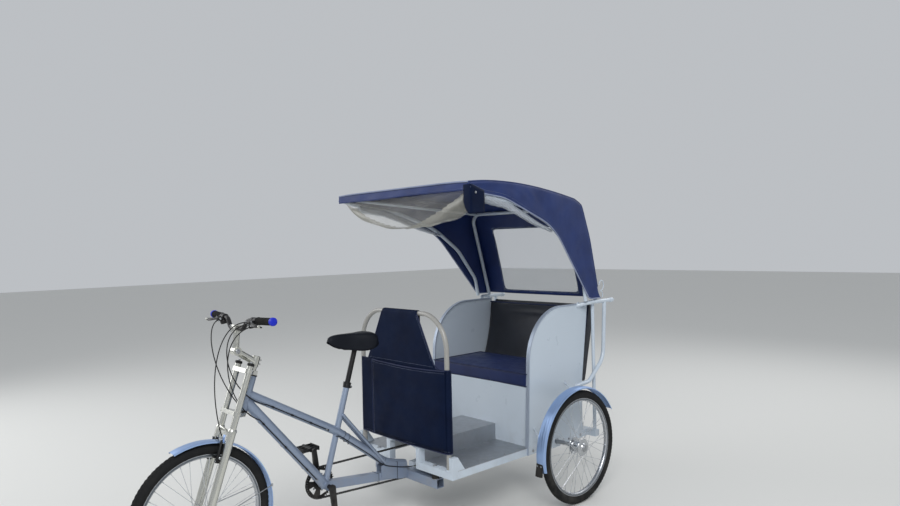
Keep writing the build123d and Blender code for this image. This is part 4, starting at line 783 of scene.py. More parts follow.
def canopy_stations():
    """Matched places on the roof line and the hem."""
    roof, hem = canopy_paths()
    roof_lengths, hem_lengths = arc_lengths(roof), arc_lengths(hem)
    marks = []
    for top, low in CANOPY_KEYS:
        marks.append(
            (
                nearest_length(roof, roof_lengths, Vector((0, *top))),
                nearest_length(hem, hem_lengths, Vector((0, *low))),
            )
        )
    pairs = []
    for (a, b), (c, d), steps in zip(marks, marks[1:], CANOPY_STEPS):
        for step in range(steps):
            t = step / steps
            pairs.append(
                (
                    along_path(roof, roof_lengths, lerp(a, c, t)),
                    along_path(hem, hem_lengths, lerp(b, d, t)),
                )
            )
    pairs.append((roof[-1], hem[-1]))
    return pairs


def canopy_side_fold(forward, up, depth):
    """How far the side valance is drawn in or out: soft folds that fan out from the bows."""
    fan = sin((forward * 3.1 + up * 5.2) * 4.2 + 2.5 * wave(forward, up, 0, 0.35, 3))
    pull = (
        exp(-(((forward - 0.33) / 0.13) ** 2)) * min(1, max(0, (depth - 0.45) / 0.4))
        * sin(forward * 96 + up * 42)
    )
    return (
        0.0032 * fan + 0.0045 * wave(forward, up, 0.3, 0.13, 7) + 0.0042 * pull
    ) * sin(pi * min(1, max(0, depth))) ** 0.7


def canopy_sheet(sizes):
    """Sewn sheet with its window opening."""
    pairs = canopy_stations()
    side_steps, corner_steps = 9, 4
    first_inner = side_steps + corner_steps + 2
    inner = [sizes.window_half * k / 9 for k in range(-9, 10)]
    bm = bmesh.new()
    rows = []
    normals = []
    for i, (top, low) in enumerate(pairs):
        before = pairs[max(i - 1, 0)][0]
        after = pairs[min(i + 1, len(pairs) - 1)][0]
        run = (after - before).normalized()
        normal = Vector((0, run.z, -run.y))
        normals.append(normal)
        half = canopy_half(top.y)
        corner = min(ROOF_CORNER_R, (top - low).length * 0.45)
        row = []
        shoulder = top - normal * corner
        for k in range(side_steps):
            t = k / side_steps
            place = low.lerp(shoulder, t)
            fold = canopy_side_fold(place.y, place.z, t)
            row.append((canopy_half(place.y) + fold, place.y, place.z))
        for k in range(corner_steps):
            angle = pi / 2 * k / corner_steps
            place = top - normal * corner * (1 - sin(angle))
            row.append((half - corner * (1 - cos(angle)), place.y, place.z))
        edge = [half - corner, lerp(half - corner, sizes.window_half, 0.5)]
        for x in edge + inner[::-1]:
            x_share = x / half
            span = sin(pi * min(1.0, max(0.0, (top.y + 0.19) / 1.03)))
            slack = min(1.0, max(0.0, (1.71 - top.z) / 0.1)) if top.y < -0.1 else 1.0
            sag = (0.01 * span if top.y > -0.1 else 0.004 * slack) * (1 - x_share**2)
            ripple = 0.0022 * wave(x, top.y, top.z, 0.11, 5) * (1 - abs(x_share) ** 6) * slack
            place = top - normal * (sag + ripple)
            row.append((x, place.y, place.z))
        mirrored = [(-x, f, u) for x, f, u in reversed(row[:first_inner])]
        rows.append([at(*p) for p in row + mirrored])
    draped(bm, rows)
    opening = []
    for number, face in enumerate(bm.faces):
        i, j = divmod(number, len(rows[0]) - 1)
        middle_up = (pairs[i][0].z + pairs[i + 1][0].z) / 2
        behind = pairs[i + 1][0].y < CANOPY_KNEE
        in_height = sizes.window_low < middle_up < sizes.window_high + 0.001
        if behind and in_height and first_inner <= j < first_inner + 18:
            opening.append(face)
    bmesh.ops.delete(bm, geom=opening, context="FACES")
    canopy = piece("canopy_cloth", bm, "canopy_coated_cloth", 50, stands_for=["canopy"])
    thicken(canopy, sizes.cloth_thickness)
    smooth = canopy.modifiers.new("smooth", "SUBSURF")
    smooth.levels = smooth.render_levels = 1
    return canopy, pairs, normals


def canopy_seams(pairs, normals):
    """Seams, piped hem and front binding."""
    bm = bmesh.new()
    for side in (1, -1):
        seam, hem, hem_row = [], [], []
        for (top, low), normal in zip(pairs, normals):
            half = canopy_half(top.y)
            corner = min(ROOF_CORNER_R, (top - low).length * 0.45)
            place = top - normal * corner * 0.29
            seam.append(at(side * (half - corner * 0.29 + 0.001), place.y, place.z))
            hem.append(at(side * (canopy_half(low.y) + 0.0005), low.y, low.z))
            up = low.lerp(top, min(0.5, 0.02 / max((top - low).length, 0.03)))
            hem_row.append(
                at(side * (canopy_half(up.y) + 0.0012 + canopy_side_fold(up.y, up.z, 0.12)), up.y, up.z)
            )
        tube(bm, seam[:-2], 0.0026, 6)
        tube(bm, hem, 0.0042, 8, look=1)
        stitches(bm, hem_row[:-4], 0.008, 0.005, 0.0006, look=1)
    front = []
    for k in range(25):
        x = lerp(-FRONT_HALF + 0.012, FRONT_HALF - 0.012, k / 24)
        front.append(at(x, 0.8605, 1.8605 - 0.006 * abs(x / FRONT_HALF) ** 8))
    tube(bm, front, 0.0045, 8, look=1)
    piece("canopy_seams", bm, ["canopy_coated_cloth", "hem_tape_grey"], 50)


def corner_flap():
    """Flap that closes the front corner, in the screen's darker cloth as painted shade."""
    bm = bmesh.new()
    rows = []
    for k in range(11):
        drop = k / 10
        row = []
        for j in range(15):
            along = lerp(-0.052, 0.106, j / 14)
            if along < 0:
                turn = min(1, -along / 0.01)
                x = FRONT_HALF + 0.005 - max(0, -along - 0.01) - 0.006 * turn
                forward = 0.86 + 0.0035 * turn
            else:
                forward = 0.858 - along
                x = canopy_half(forward) + 0.005
            bow = wave(along, drop, 1, 0.07, 4) * drop
            top = 1.842 if along < 0.01 else 1.842 - 0.3 * (along - 0.01)
            low = 1.69 + 0.06 * max(0, (-along - 0.006) / 0.046) ** 2 + 0.012 * (j / 14) ** 2
            outward = Vector((0.004 * bow, 0, 0)) if along >= 0 else Vector((0, -0.003 * abs(bow), 0))
            row.append(at(x, forward, lerp(top, low, drop)) + outward)
        rows.append(row)
    draped(bm, rows)
    # The flap takes the screen's darker cloth: painted shade, darker than the canopy cloth around it
    flaps = piece("canopy_corner_flaps", bm, "screen_coated_cloth", 50)
    thicken(flaps, 0.0025, 0)
    return flaps


def snap_and_hooks():
    """Snap on the flap, and hooks behind the canopy."""
    bm = bmesh.new()
    snap = at(canopy_half(0.822) + 0.0068, 0.822, 1.802)
    dome = [(0, 0.0068), (0.0015, 0.0066), (0.0028, 0.004), (0.0032, 0.001)]
    turned(bm, dome, snap, (1, 0, 0), 18)
    for side in (1, -1):
        for hook in (
            [
                (-0.372, 1.262), (-0.392, 1.288), (-0.416, 1.284), (-0.424, 1.255), (-0.41, 1.232),
                (-0.392, 1.226),
            ], [(-0.386, 1.222), (-0.404, 1.22), (-0.412, 1.202), (-0.408, 1.182)],
        ):
            tube(bm, smooth_points([at(side * 0.4885, f, u) for f, u in hook], 5), 0.003, 10, look=1)
    piece("canopy_snaps_and_hooks", bm, ["bolt_zinc", "cab_enamel_white"], 50)


def front_valance(sizes):
    """Narrow strip under the front bow."""
    bm = bmesh.new()
    rows = []
    for i in range(8):
        t = i / 7
        row = []
        for k in range(61):
            x = lerp(-0.584, 0.584, k / 60)
            low = lerp(1.812, 1.819, k / 60) + 0.002 * sin(x * 9)
            fold = (0.003 * wave(x, t * 0.05, 0.4, 0.1, 6) + 0.0015 * sin(31 * x + 2 * t)) * t
            row.append(at(x, 0.858 + fold, lerp(1.8575, low, t)))
        rows.append(row)
    draped(bm, rows)
    edge = rows[-1]
    hem_line = [place + Vector((0, -0.0016, 0)) for place in rows[-2]]
    valance = piece("canopy_valance", bm, "canopy_coated_cloth", 50)
    thicken(valance, sizes.cloth_thickness, 0)
    bm = bmesh.new()
    tube(bm, edge, 0.0028, 8)
    stitches(bm, hem_line, 0.008, 0.005, 0.0006, look=1)
    binding = piece("valance_binding", bm, ["canopy_coated_cloth", "hem_tape_grey"], 50)
    return valance, binding


class BuildCanopy(bpy.types.Operator):
    """One sewn sheet over the bows: roof, rear wall and side valances, with seams and piped hem."""

    bl_idname = "rickshaw.canopy"
    bl_label = "Canopy"

    def execute(self, context):
        sizes = context.scene.rickshaw_sizes
        canopy, pairs, normals = canopy_sheet(sizes)
        canopy_seams(pairs, normals)
        flaps = corner_flap()
        snap_and_hooks()
        valance, binding = front_valance(sizes)
        return {"FINISHED"}


def rear_window(sizes):
    """Pane and the stitching round it."""
    wall = [p for p in canopy_paths()[0] if p.y < -0.2]

    def wall_point(up):
        for p, q in zip(wall, wall[1:]):
            if q.z <= up <= p.z:
                return p.lerp(q, (p.z - up) / max(p.z - q.z, 1e-9))
        return wall[-1]

    bm = bmesh.new()
    rows = []
    for i in range(19):
        row = []
        for j in range(41):
            x = lerp(-sizes.window_half - 0.012, sizes.window_half + 0.012, j / 40)
            place = wall_point(lerp(sizes.window_low - 0.012, sizes.window_high + 0.012, i / 18))
            edge = sin(pi * i / 18) * sin(pi * j / 40)
            ripple = (0.006 * wave(x, place.z, 0, 0.16, 2) + 0.0025 * wave(x, place.z, 0, 0.05, 8)) * edge
            row.append(at(x, place.y + 0.0065 + ripple, place.z))
        rows.append(row)
    draped(bm, rows)
    pane = piece("window_pane", bm, "vinyl_film_window", 60, stands_for=["rear_window"])
    thicken(pane, sizes.film_thickness, 0)
    bm = bmesh.new()
    low, high, half = sizes.window_low - 0.008, sizes.window_high + 0.008, sizes.window_half + 0.008
    route = (
        [(lerp(-half, half, k / 10), low) for k in range(10)]
        + [(half, lerp(low, high, k / 10)) for k in range(10)]
    )
    route += (
        [(lerp(half, -half, k / 10), high) for k in range(10)]
        + [(-half, lerp(high, low, k / 10)) for k in range(10)]
    )
    border = [at(x, wall_point(up).y - 0.0035, up) for x, up in route]
    stitches(bm, border + [border[0]], 0.008, 0.005, 0.0006)
    piece("window_stitching", bm, "hem_tape_grey", 50)


class BuildRearWindow(bpy.types.Operator):
    """Clear pane with faint ripples and a row of stitches round it."""

    bl_idname = "rickshaw.rear_window"
    bl_label = "Rear Window"

    def execute(self, context):
        rear_window(context.scene.rickshaw_sizes)
        return {"FINISHED"}


def front_curtain(sizes):
    """Curtain drawn up in a belly of folds."""
    bends = [(0.847, 1.812), (0.835, 1.668), (0.79, 1.617), (0.7, 1.645), (0.6, 1.788)]
    path = bent_path([Vector((0, f, u)) for f, u in bends], [0.06, 0.06, 0.08], radians(10))
    lengths = arc_lengths(path)
    bm = bmesh.new()
    rows = []
    across, down = 84, 44
    for i in range(down + 1):
        t = i / down
        base = along_path(path, lengths, t * lengths[-1])
        ahead_point = along_path(path, lengths, min(1, t + 0.02) * lengths[-1])
        behind_point = along_path(path, lengths, max(0, t - 0.02) * lengths[-1])
        run = (ahead_point - behind_point).normalized()
        normal = Vector((0, run.z, -run.y))
        held = sin(pi * t) ** 0.6
        row = []
        for j in range(across + 1):
            x = lerp(-sizes.curtain_half, sizes.curtain_half, j / across)
            share = abs(x) / sizes.curtain_half
            lift = (0.006 + 0.135 * share**3.2) * sin(pi * t) ** 0.9
            crease = 0.006 * sin(2 * pi * (4.2 * t + 0.5 * wave(x, t * 0.2, 0, 0.3, 6)) + 2.2 * share)
            fine = (
                0.0035 * wave(x * 0.5, t * 0.4, 0.2, 0.045, 11)
                + 0.007 * (1 - abs(wave(x * 0.7, t * 0.55, 0.6, 0.13, 13))) ** 5
            )
            fan = 0.005 * share**3 * sin(14 * (t + share))
            place = base + normal * ((crease + fine + fan) * held)
            fold_at = lerp(0.44, 0.15, share**0.8)
            place += normal * (0.005 * min(1, max(0, (t - fold_at) / 0.02)) * held)
            row.append(at(x, place.y, place.z + lift))
        rows.append(row)
    draped(bm, rows)
    for number, face in enumerate(bm.faces):
        i, j = divmod(number, across)
        share = abs(lerp(-1, 1, (j + 0.5) / across))
        face.material_index = int(lerp(0.44, 0.15, share**0.8) < (i + 0.5) / down < 0.52)
    curtain = piece(
        "curtain_front", bm, ["vinyl_film_clear", "vinyl_film_folded"], 70,
        stands_for=["curtains"],
    )
    thicken(curtain, sizes.film_thickness, 0)


def side_rolls(sizes):
    """Curtains rolled up under the side bows."""
    route = [(0.095, 1.606), (0.27, 1.655), (0.42, 1.708), (0.54, 1.752), (0.735, 1.783)]
    for word, side in (("left", 1), ("right", -1)):
        centre = bent_path(
            [at(side * (canopy_half(f) - 0.031), f, u) for f, u in route], [0.4, 0.4, 0.3], radians(4)
        )
        run_lengths = arc_lengths(centre)
        places = [along_path(centre, run_lengths, run_lengths[-1] * k / 46) for k in range(47)]
        bm = bmesh.new()
        rows = []
        for k, (place, (_, across_dir, up_dir)) in enumerate(zip(places, frames_along(places))):
            row = []
            swell = lerp(0.36, 1.22, (k / 46) ** 0.75)
            for turn in range(85):
                angle = 2 * pi * turn / 24
                radius = lerp(0.0085, sizes.roll_radius, turn / 84) * swell
                radius += 0.0034 * swell * wave(
                    k * 0.012, cos(angle) * 0.06, sin(angle) * 0.06 + turn * 0.001, 0.03, 5
                )
                radius += 0.0015 * sin(3 * angle + k * 0.16) * swell
                around = across_dir * cos(angle) + up_dir * sin(angle)
                row.append(place + around * radius)
            rows.append(row)
        draped(bm, rows)
        roll = piece(f"curtain_roll_{word}", bm, "vinyl_film_rolled", 70)


class BuildCurtains(bpy.types.Operator):
    """Front curtain drawn up in a sagging belly under the roof, and the rolled side curtains."""

    bl_idname = "rickshaw.curtains"
    bl_label = "Curtains"

    def execute(self, context):
        front_curtain(context.scene.rickshaw_sizes)
        side_rolls(context.scene.rickshaw_sizes)
        return {"FINISHED"}


def hexahedron(corners, counts):
    """Box cut into a lattice of faces and bent to eight corners; returns its vertices by lattice place."""
    bm = bmesh.new()
    bmesh.ops.create_cube(bm, size=1.0, matrix=Matrix.Translation((0.5, 0.5, 0.5)))
    for axis, count in enumerate(counts):
        normal = Vector([float(number == axis) for number in range(3)])
        for cut in range(1, count):
            whole = bm.verts[:] + bm.edges[:] + bm.faces[:]
            bmesh.ops.bisect_plane(bm, geom=whole, plane_co=normal * (cut / count), plane_no=normal)
    seen = {}
    for vert in bm.verts:
        u, v, w = vert.co
        seen[tuple(round(c * count) for c, count in zip(vert.co, counts))] = vert
        place = Vector()
        for a in (0, 1):
            for b in (0, 1):
                for c in (0, 1):
                    share = (u if a else 1 - u) * (v if b else 1 - v) * (w if c else 1 - w)
                    place += Vector(corners[a][b][c]) * share
        vert.co = place
    return bm, seen


def inflate(cushion, seam_verts, cap, pressure):
    """Swells a cushion between its seams with a short cloth simulation and applies the result."""
    rest = [v.co.copy() for v in cushion.data.vertices]
    group = cushion.vertex_groups.new(name="seams")
    group.add(seam_verts, 1.0, "REPLACE")
    cloth = cushion.modifiers.new("cloth", "CLOTH")
    cloth.settings.quality = 6
    cloth.settings.mass = 0.3
    cloth.settings.tension_stiffness = 8
    cloth.settings.compression_stiffness = 8
    cloth.settings.bending_stiffness = 0.6
    cloth.settings.use_pressure = True
    cloth.settings.uniform_pressure_force = pressure
    cloth.settings.vertex_group_mass = "seams"
    cloth.settings.effector_weights.gravity = 0
    cloth.point_cache.frame_start = 1
    cloth.point_cache.frame_end = 20
    scene = bpy.context.scene
    for number in range(1, 21):
        scene.frame_set(number)
    evaluated = cushion.evaluated_get(bpy.context.evaluated_depsgraph_get())
    moved = [v.co.copy() for v in evaluated.data.vertices]
    cushion.modifiers.remove(cloth)
    cushion.vertex_groups.clear()
    for vert, start, end in zip(cushion.data.vertices, rest, moved):
        shift = end - start
        if shift.length > cap:
            shift *= cap / shift.length
        vert.co = start + shift
    scene.frame_set(1)


def cushion(name, node, look, corners, counts, slot, cap, fill):
    """Boxed cushion, swollen between its welted seams, which bow in slightly between the corners."""
    sizes = bpy.context.scene.rickshaw_sizes
    bm, seen = hexahedron(corners, counts)
    nx, ny, nz = counts
    middle = sum((Vector(corners[a][b][c]) for a in (0, 1) for b in (0, 1) for c in (0, 1)), Vector()) / 8
    for (i, j, k), vert in seen.items():
        u, v, w = 2 * i / nx - 1, 2 * j / ny - 1, 2 * k / nz - 1
        pull = 0.006
        vert.co.x -= copysign(pull * (1 - v * v) * abs(u) ** 6, u)
        inward = middle - vert.co
        vert.co.y += copysign(pull * (1 - u * u) * abs(v) ** 6, inward.y)
    bm.verts.index_update()
    seams = []
    loops = []
    for k in (0, nz):
        ring = [(i, 0, k) for i in range(nx)] + [(nx, j, k) for j in range(ny)]
        ring += [(i, ny, k) for i in range(nx, 0, -1)] + [(0, j, k) for j in range(ny, 0, -1)]
        seams += [seen[key].index for key in ring]
        loops.append([seen[key].co.copy() for key in ring])
    made = piece(name, bm, look, 80, stands_for=[node])
    inflate(made, seams, cap, 4.0)
    finer = made.modifiers.new("smooth", "SUBSURF")
    finer.levels = finer.render_levels = 1
    bm = bmesh.new()
    for loop in loops:
        tube(bm, loop, sizes.piping_radius, 8, closed=True)
    piece(f"{name}_piping", bm, "welt_cord_navy", 80)


def cushions(sizes):
    """Seat and back, each between its corners."""
    seat = [[[at(side * 0.404, f, u) for u in (0.6985, 0.77)] for f in (-0.19, 0.252)] for side in (-1, 1)]
    cushion(
        "seat_pad", "seat_cushion", "seat_coated_cloth", seat, (60, 34, 7), "navy_vinyl",
        sizes.cushion_swell, 0.7,
    )
    back = [
        [
            [at(side * 0.402, f, u) for f, u in pair]
            for pair in (((-0.272, 0.713), (-0.381, 1.122)), ((-0.213, 0.713), (-0.308, 1.122)))
        ]
        for side in (-1, 1)
    ]
    cushion(
        "back_pad", "back_cushion", "back_coated_cloth", back, (60, 7, 34), "grey_vinyl",
        sizes.cushion_swell - 0.001, 0.7,
    )


class BuildCushions(bpy.types.Operator):
    """Seat and back cushions with their welted seams."""

    bl_idname = "rickshaw.cushions"
    bl_label = "Cushions"

    def execute(self, context):
        cushions(context.scene.rickshaw_sizes)
        return {"FINISHED"}


def back_cover():
    """Shell lofted across the back, with its piping."""
    side_view = [
        (-0.266, 0.652), (-0.308, 0.652), (-0.32, 0.69), (-0.357, 0.842), (-0.388, 0.96), (-0.395, 1.06),
        (-0.3955, 1.12), (-0.388, 1.1335), (-0.368, 1.1335),
    ]
    line = bent_path(
        [Vector((0, f, u)) for f, u in side_view[1:]], [0.01, 0.12, 0.12, 0.12, 0.05, 0.01], radians(12)
    )
    loop = [Vector((0, *side_view[0]))] + line
    bm = bmesh.new()
    centre = Vector((0, -0.335, 0.9))
    rings = []
    stations = [(-0.414, 0.01), (-0.4125, 0.004), (-0.407, 0.001), (-0.395, 0.0)]
    stations += (
        [(lerp(-0.37, 0.37, k / 20), 0.0) for k in range(21)] + [(-x, d) for x, d in reversed(stations)]
    )
    for x, inset in stations:
        ring = []
        for p in loop:
            inward = (centre - p).normalized() * inset
            crease = 0.0022 * wave(x, p.y, p.z, 0.12, 8) if p.y < -0.31 else 0.0
            q = p + inward + Vector((0, crease, 0))
            ring.append(at(x, q.y, q.z))
        rings.append(ring)
    loft(bm, rings)
    cover = piece("back_cover", bm, "back_coated_cloth", 50, stands_for=["back_plate"])
    bm = bmesh.new()
    for ring in (rings[2], rings[-3]):
        tube(bm, ring, 0.003, 8, closed=True)
    piece("back_cover_piping", bm, "welt_cord_navy", 60)


class BuildBackCover(bpy.types.Operator):
    """Upholstered shell behind the back cushion, rounded over at its ends, with a sewn edge."""

    bl_idname = "rickshaw.back_cover"
    bl_label = "Back Cover"

    def execute(self, context):
        back_cover()
        return {"FINISHED"}


SCREEN_FACE = 0.8655


def drape(x, up):
    """How far ahead the screen hangs at a place, with its soft folds."""
    hang = min(1, max(0, (0.872 - up) / 0.43))
    fold = 0.0035 * wave(x, up, 0, 0.16, 3) + 0.002 * sin(24 * x + 3 * wave(x, up, 0, 0.3, 1)) * hang
    return max(SCREEN_FACE - 0.0008, SCREEN_FACE + fold * (0.4 + 0.6 * hang) + 0.003 * hang)


def low_edge(x):
    """Height of the screen's lower edge."""
    return 0.436 - 0.007 * (1 - (x / 0.396) ** 2)


def screen_sheet(sizes):
    """Cloth over the hoop; returns it with its left edge, outline and far edge."""
    columns = [-0.362, -0.341, -0.32] + [-0.3 + 0.6 * k / 20 for k in range(21)] + [0.325, 0.35, 0.375]
    wrap = [(0.3835, 0.865), (0.3905, 0.8608), (0.394, 0.852), (0.3935, 0.842), (0.3885, 0.835)]
    bm = bmesh.new()
    rows = []
    for i in range(19):
        up_share = i / 18
        row = []
        for x in columns:
            up = lerp(low_edge(x), 0.875, up_share)
            row.append(at(x, drape(x, up), up))
        up = lerp(low_edge(0.375), 0.875, up_share)
        for number, (x, forward) in enumerate(wrap):
            row.append(at(x, forward + 0.001 * wave(up, number * 0.02, 0, 0.06, 2), up))
        rows.append(row)
    draped(bm, rows)
    upper = [rows[-1][3:24]]
    for i in range(1, 15):
        up = lerp(0.875, 1.16, i / 14)
        half = lerp(0.3, 0.158, i / 14)
        upper.append([at(half * (k / 10 - 1), drape(half * (k / 10 - 1), up), up) for k in range(21)])
    hoop_ahead, hoop_up, wrap = 0.8485, 1.1645, 0.0155
    for i in range(1, 9):
        angle = pi * i / 9
        half = lerp(0.158, 0.146, i / 9)
        forward = hoop_ahead + wrap * cos(angle) * (1 + 0.08 * (i < 4))
        up = hoop_up + wrap * sin(angle)
        upper.append([at(half * (k / 10 - 1), forward, up) for k in range(21)])
    for i in range(1, 5):
        upper.append([at(0.144 * (k / 10 - 1), hoop_ahead - wrap, hoop_up - 0.02 * i) for k in range(21)])
    draped(bm, upper)
    bmesh.ops.remove_doubles(bm, verts=bm.verts[:], dist=0.00001)
    edge_left = rows[0]
    outline = edge_left + [row[-1] for row in rows[1:]] + [rows[-1][-k] for k in range(2, 9)]
    outline += [row[-1] for row in upper[1:15]]
    far = [row[0] for row in rows] + [rows[-1][k] for k in (1, 2, 3)] + [row[0] for row in upper[1:15]]
    screen = piece("screen_cloth", bm, "screen_coated_cloth", 60, stands_for=["screen"])
    thicken(screen, sizes.cloth_thickness, 0)
    return screen, edge_left, outline, far


def screen_pocket(sizes):
    """Pocket sewn on the screen; returns it with its top and side lines."""
    bm = bmesh.new()
    pocket = []
    top_pocket = 0.872
    pocket_columns = [lerp(-0.258, 0.38, k / 30) for k in range(31)]
    for i in range(17):
        t = i / 16
        row = []
        for k, x in enumerate(pocket_columns):
            up = lerp(low_edge(x) + 0.004, top_pocket - 0.01 * sin(pi * k / 30), t)
            round_in = min(1, k / 2.5, (30 - k) / 2.5) ** 0.6 if 0 < k < 30 else 0.12
            belly = (
                0.0085 * sin(pi * min(1, t * 1.15 + 0.08)) ** 0.6 if t < 0.8
                else 0.0085 * lerp(0.92, 0.78, (t - 0.8) / 0.2)
            )
            if i == 0:
                belly = 0.001
            crease = 0.0022 * wave(x, up, 0.5, 0.11, 2) + 0.0016 * wave(x * 0.5, up, 0.1, 0.05, 9)
            row.append(at(x, SCREEN_FACE + 0.0042 + (belly + crease) * round_in, up))
        pocket.append(row)
    draped(bm, pocket)
    top_line = pocket[-1]
    side_line = [row[0] for row in pocket]
    cover = piece("screen_pocket", bm, "screen_coated_cloth", 60)
    thicken(cover, sizes.cloth_thickness, 0)
    return cover, top_line, side_line


def screen_binding(edge_left, outline, far, top_line, side_line):
    """Bound edges and their rows of stitches."""
    bm = bmesh.new()
    for path in (outline, far, top_line, side_line):
        tube(bm, path, 0.004, 8, flat=0.7)
    ahead_shift = Vector((0, -0.0028, 0))
    stitches(bm, [p + ahead_shift + Vector((0, 0, -0.012)) for p in top_line], look=1)
    stitches(bm, [p + ahead_shift + Vector((0.01, 0, 0)) for p in side_line[:-1]], look=1)
    stitches(bm, [p + ahead_shift + Vector((-0.01, 0, 0)) for p in outline[-13:]], look=1)
    stitches(bm, [p + ahead_shift + Vector((0, 0, 0.011)) for p in edge_left[1:-1]], look=1)
    bar_tack = [at(x, SCREEN_FACE + 0.0022, 0.884) for x in (-0.29, 0.29)]
    stitches(bm, bar_tack, look=1)
    return piece("screen_binding", bm, ["welt_cord_navy", "hem_tape_grey"], 60)


class BuildScreen(bpy.types.Operator):
    """Cloth screen hung over the hoop, with its bound edges and wide front pocket."""

    bl_idname = "rickshaw.screen"
    bl_label = "Front Screen"

    def execute(self, context):
        sizes = context.scene.rickshaw_sizes
        screen, edge_left, outline, far = screen_sheet(sizes)
        cover, top_line, side_line = screen_pocket(sizes)
        binding = screen_binding(edge_left, outline, far, top_line, side_line)
        return {"FINISHED"}


# Bicycle part


HEAD_R = 0.025
TOP_TUBE_R = 0.022
DOWN_TUBE_R = 0.025
SEAT_TUBE_R = 0.016
CRANK_AHEAD = 1.378
CRANK_Z = 0.312
CHAIN_X = -0.05
PITCH = 0.0127
SEAT_TURN = radians(73.2)


def on_seat(along, left=0.0):
    """Point along the seat tube's axis from the crank centre."""
    return at(left, CRANK_AHEAD - along * cos(SEAT_TURN), CRANK_Z + along * sin(SEAT_TURN))


CRANK = at(0, CRANK_AHEAD, CRANK_Z)
TOP_FRONT, TOP_BACK = on_steer(0, 0, 0.571), on_seat(0.274)
DOWN_FRONT = on_steer(0, 0, 0.54)
TOP_RUN = (TOP_BACK - TOP_FRONT).normalized()
DOWN_RUN = (CRANK - DOWN_FRONT).normalized()
SEAT_RUN = (on_seat(1) - on_seat(0)).normalized()
REAR_RUN = (at(0, 0.985, 0.338) - TOP_BACK).normalized()
CABLE_SIDE = 0.022


def under_tube(run, radius, side):
    """Offset from a tube's axis to a cable that lies along its lower side."""
    reach = sqrt((radius + 0.003) ** 2 - CABLE_SIDE**2)
    return Vector((side * CABLE_SIDE, run.z * reach, -run.y * reach))


def circle_points(centre, axis, radius, count=24):
    """Points round a circle square to an axis."""
    axis = Vector(axis).normalized()
    side = axis.orthogonal().normalized()
    up = axis.cross(side)
    turns = [2 * pi * k / count for k in range(count)]
    return [Vector(centre) + (side * cos(a) + up * sin(a)) * radius for a in turns]


def meeting_line(start, axis, radius, other, other_axis, other_radius, count=56):
    """Line where a tube, seen from its start, runs into the surface of another."""
    axis, other_axis = Vector(axis).normalized(), Vector(other_axis).normalized()
    made = []
    for place in circle_points(start, axis, radius, count):
        apart = place - Vector(other)
        apart -= other_axis * apart.dot(other_axis)
        closing = axis - other_axis * axis.dot(other_axis)
        a, b, c = closing.dot(closing), 2 * apart.dot(closing), apart.dot(apart) - other_radius**2
        under_root = max(0.0, b * b - 4 * a * c)
        made.append(place + axis * ((-b - sqrt(under_root)) / (2 * a)))
    return made


def weld(bm, line, bead=0.0024):
    """Rippled weld bead along a closed line."""
    tube(bm, line, [bead * (1.0 if k % 2 else 0.78) for k in range(len(line))], 8, closed=True)


def frame_welds():
    """Weld beads where the tubes meet."""
    bm = bmesh.new()
    head = on_steer(0, 0, 0.49)
    weld(bm, meeting_line(TOP_FRONT + TOP_RUN * 0.12, -TOP_RUN, TOP_TUBE_R, head, STEER_AXIS, HEAD_R))
    weld(bm, meeting_line(DOWN_FRONT + DOWN_RUN * 0.12, -DOWN_RUN, DOWN_TUBE_R, head, STEER_AXIS, HEAD_R))
    weld(bm, meeting_line(CRANK - DOWN_RUN * 0.1, DOWN_RUN, DOWN_TUBE_R, CRANK, (1, 0, 0), 0.021))
    weld(bm, meeting_line(on_seat(0.1), -SEAT_RUN, SEAT_TUBE_R, CRANK, (1, 0, 0), 0.021, 40))
    upper_line = meeting_line(
        on_seat(0.4), -SEAT_RUN, SEAT_TUBE_R, TOP_BACK, REAR_RUN, TOP_TUBE_R - 0.0012, 40
    )
    weld(bm, upper_line)
    for side in (1, -1):
        stay_top, stay_foot = on_seat(0.365, side * 0.019), at(side * 0.024, 1.004, 0.344)
        stay_run = (stay_foot - stay_top).normalized()
        weld(bm, circle_points(stay_top + stay_run * 0.012, stay_run, 0.0078, 20), 0.0018)
    piece("frame_welds", bm, "frame_enamel_silver", 60)


def cups_and_seat_clamp():
    """Head set's cups and the seat clamp with its lever."""
    bm = bmesh.new()
    for low, high in ((0.4875, 0.4935), (0.6565, 0.6625)):
        turned(
            bm, [(low, 0.0256), (low + 0.001, 0.0272), (high - 0.001, 0.0272), (high, 0.0256)],
            on_steer(0, 0, 0), STEER_AXIS, 40,
        )
    collar = on_seat(0.516)
    turned(bm, [(-0.014, 0.0176), (-0.013, 0.0196), (0.001, 0.0196), (0.002, 0.0176)], collar, SEAT_RUN, 36)
    behind = Vector((0, 1, 0)) - SEAT_RUN * SEAT_RUN.y
    behind.normalize()
    for side in (1, -1):
        slab(
            bm, collar + behind * 0.0225 + Vector((side * 0.0045, 0, 0)) - SEAT_RUN * 0.006,
            (0.005, 0.011, 0.013), bevel=0.001,
        )
    turned(
        bm, [(-0.013, 0.0026), (0.013, 0.0026)], collar + behind * 0.0225 - SEAT_RUN * 0.006, (1, 0, 0),
        12, 1,
    )
    lever = [(0.013, 0.0225, 0), (0.0155, 0.02, 0.004), (0.0165, 0.006, 0.007), (0.015, -0.012, 0.008)]
    tube(
        bm, [collar + Vector((x, 0, 0)) + behind * b + SEAT_RUN * (u - 0.006) for x, b, u in lever],
        [0.0045, 0.004, 0.0035, 0.003], 10, look=1, flat=0.6,
    )
    piece("head_cups_and_seat_clamp", bm, ["aluminium_black_anodised", "bolt_zinc"], 35)


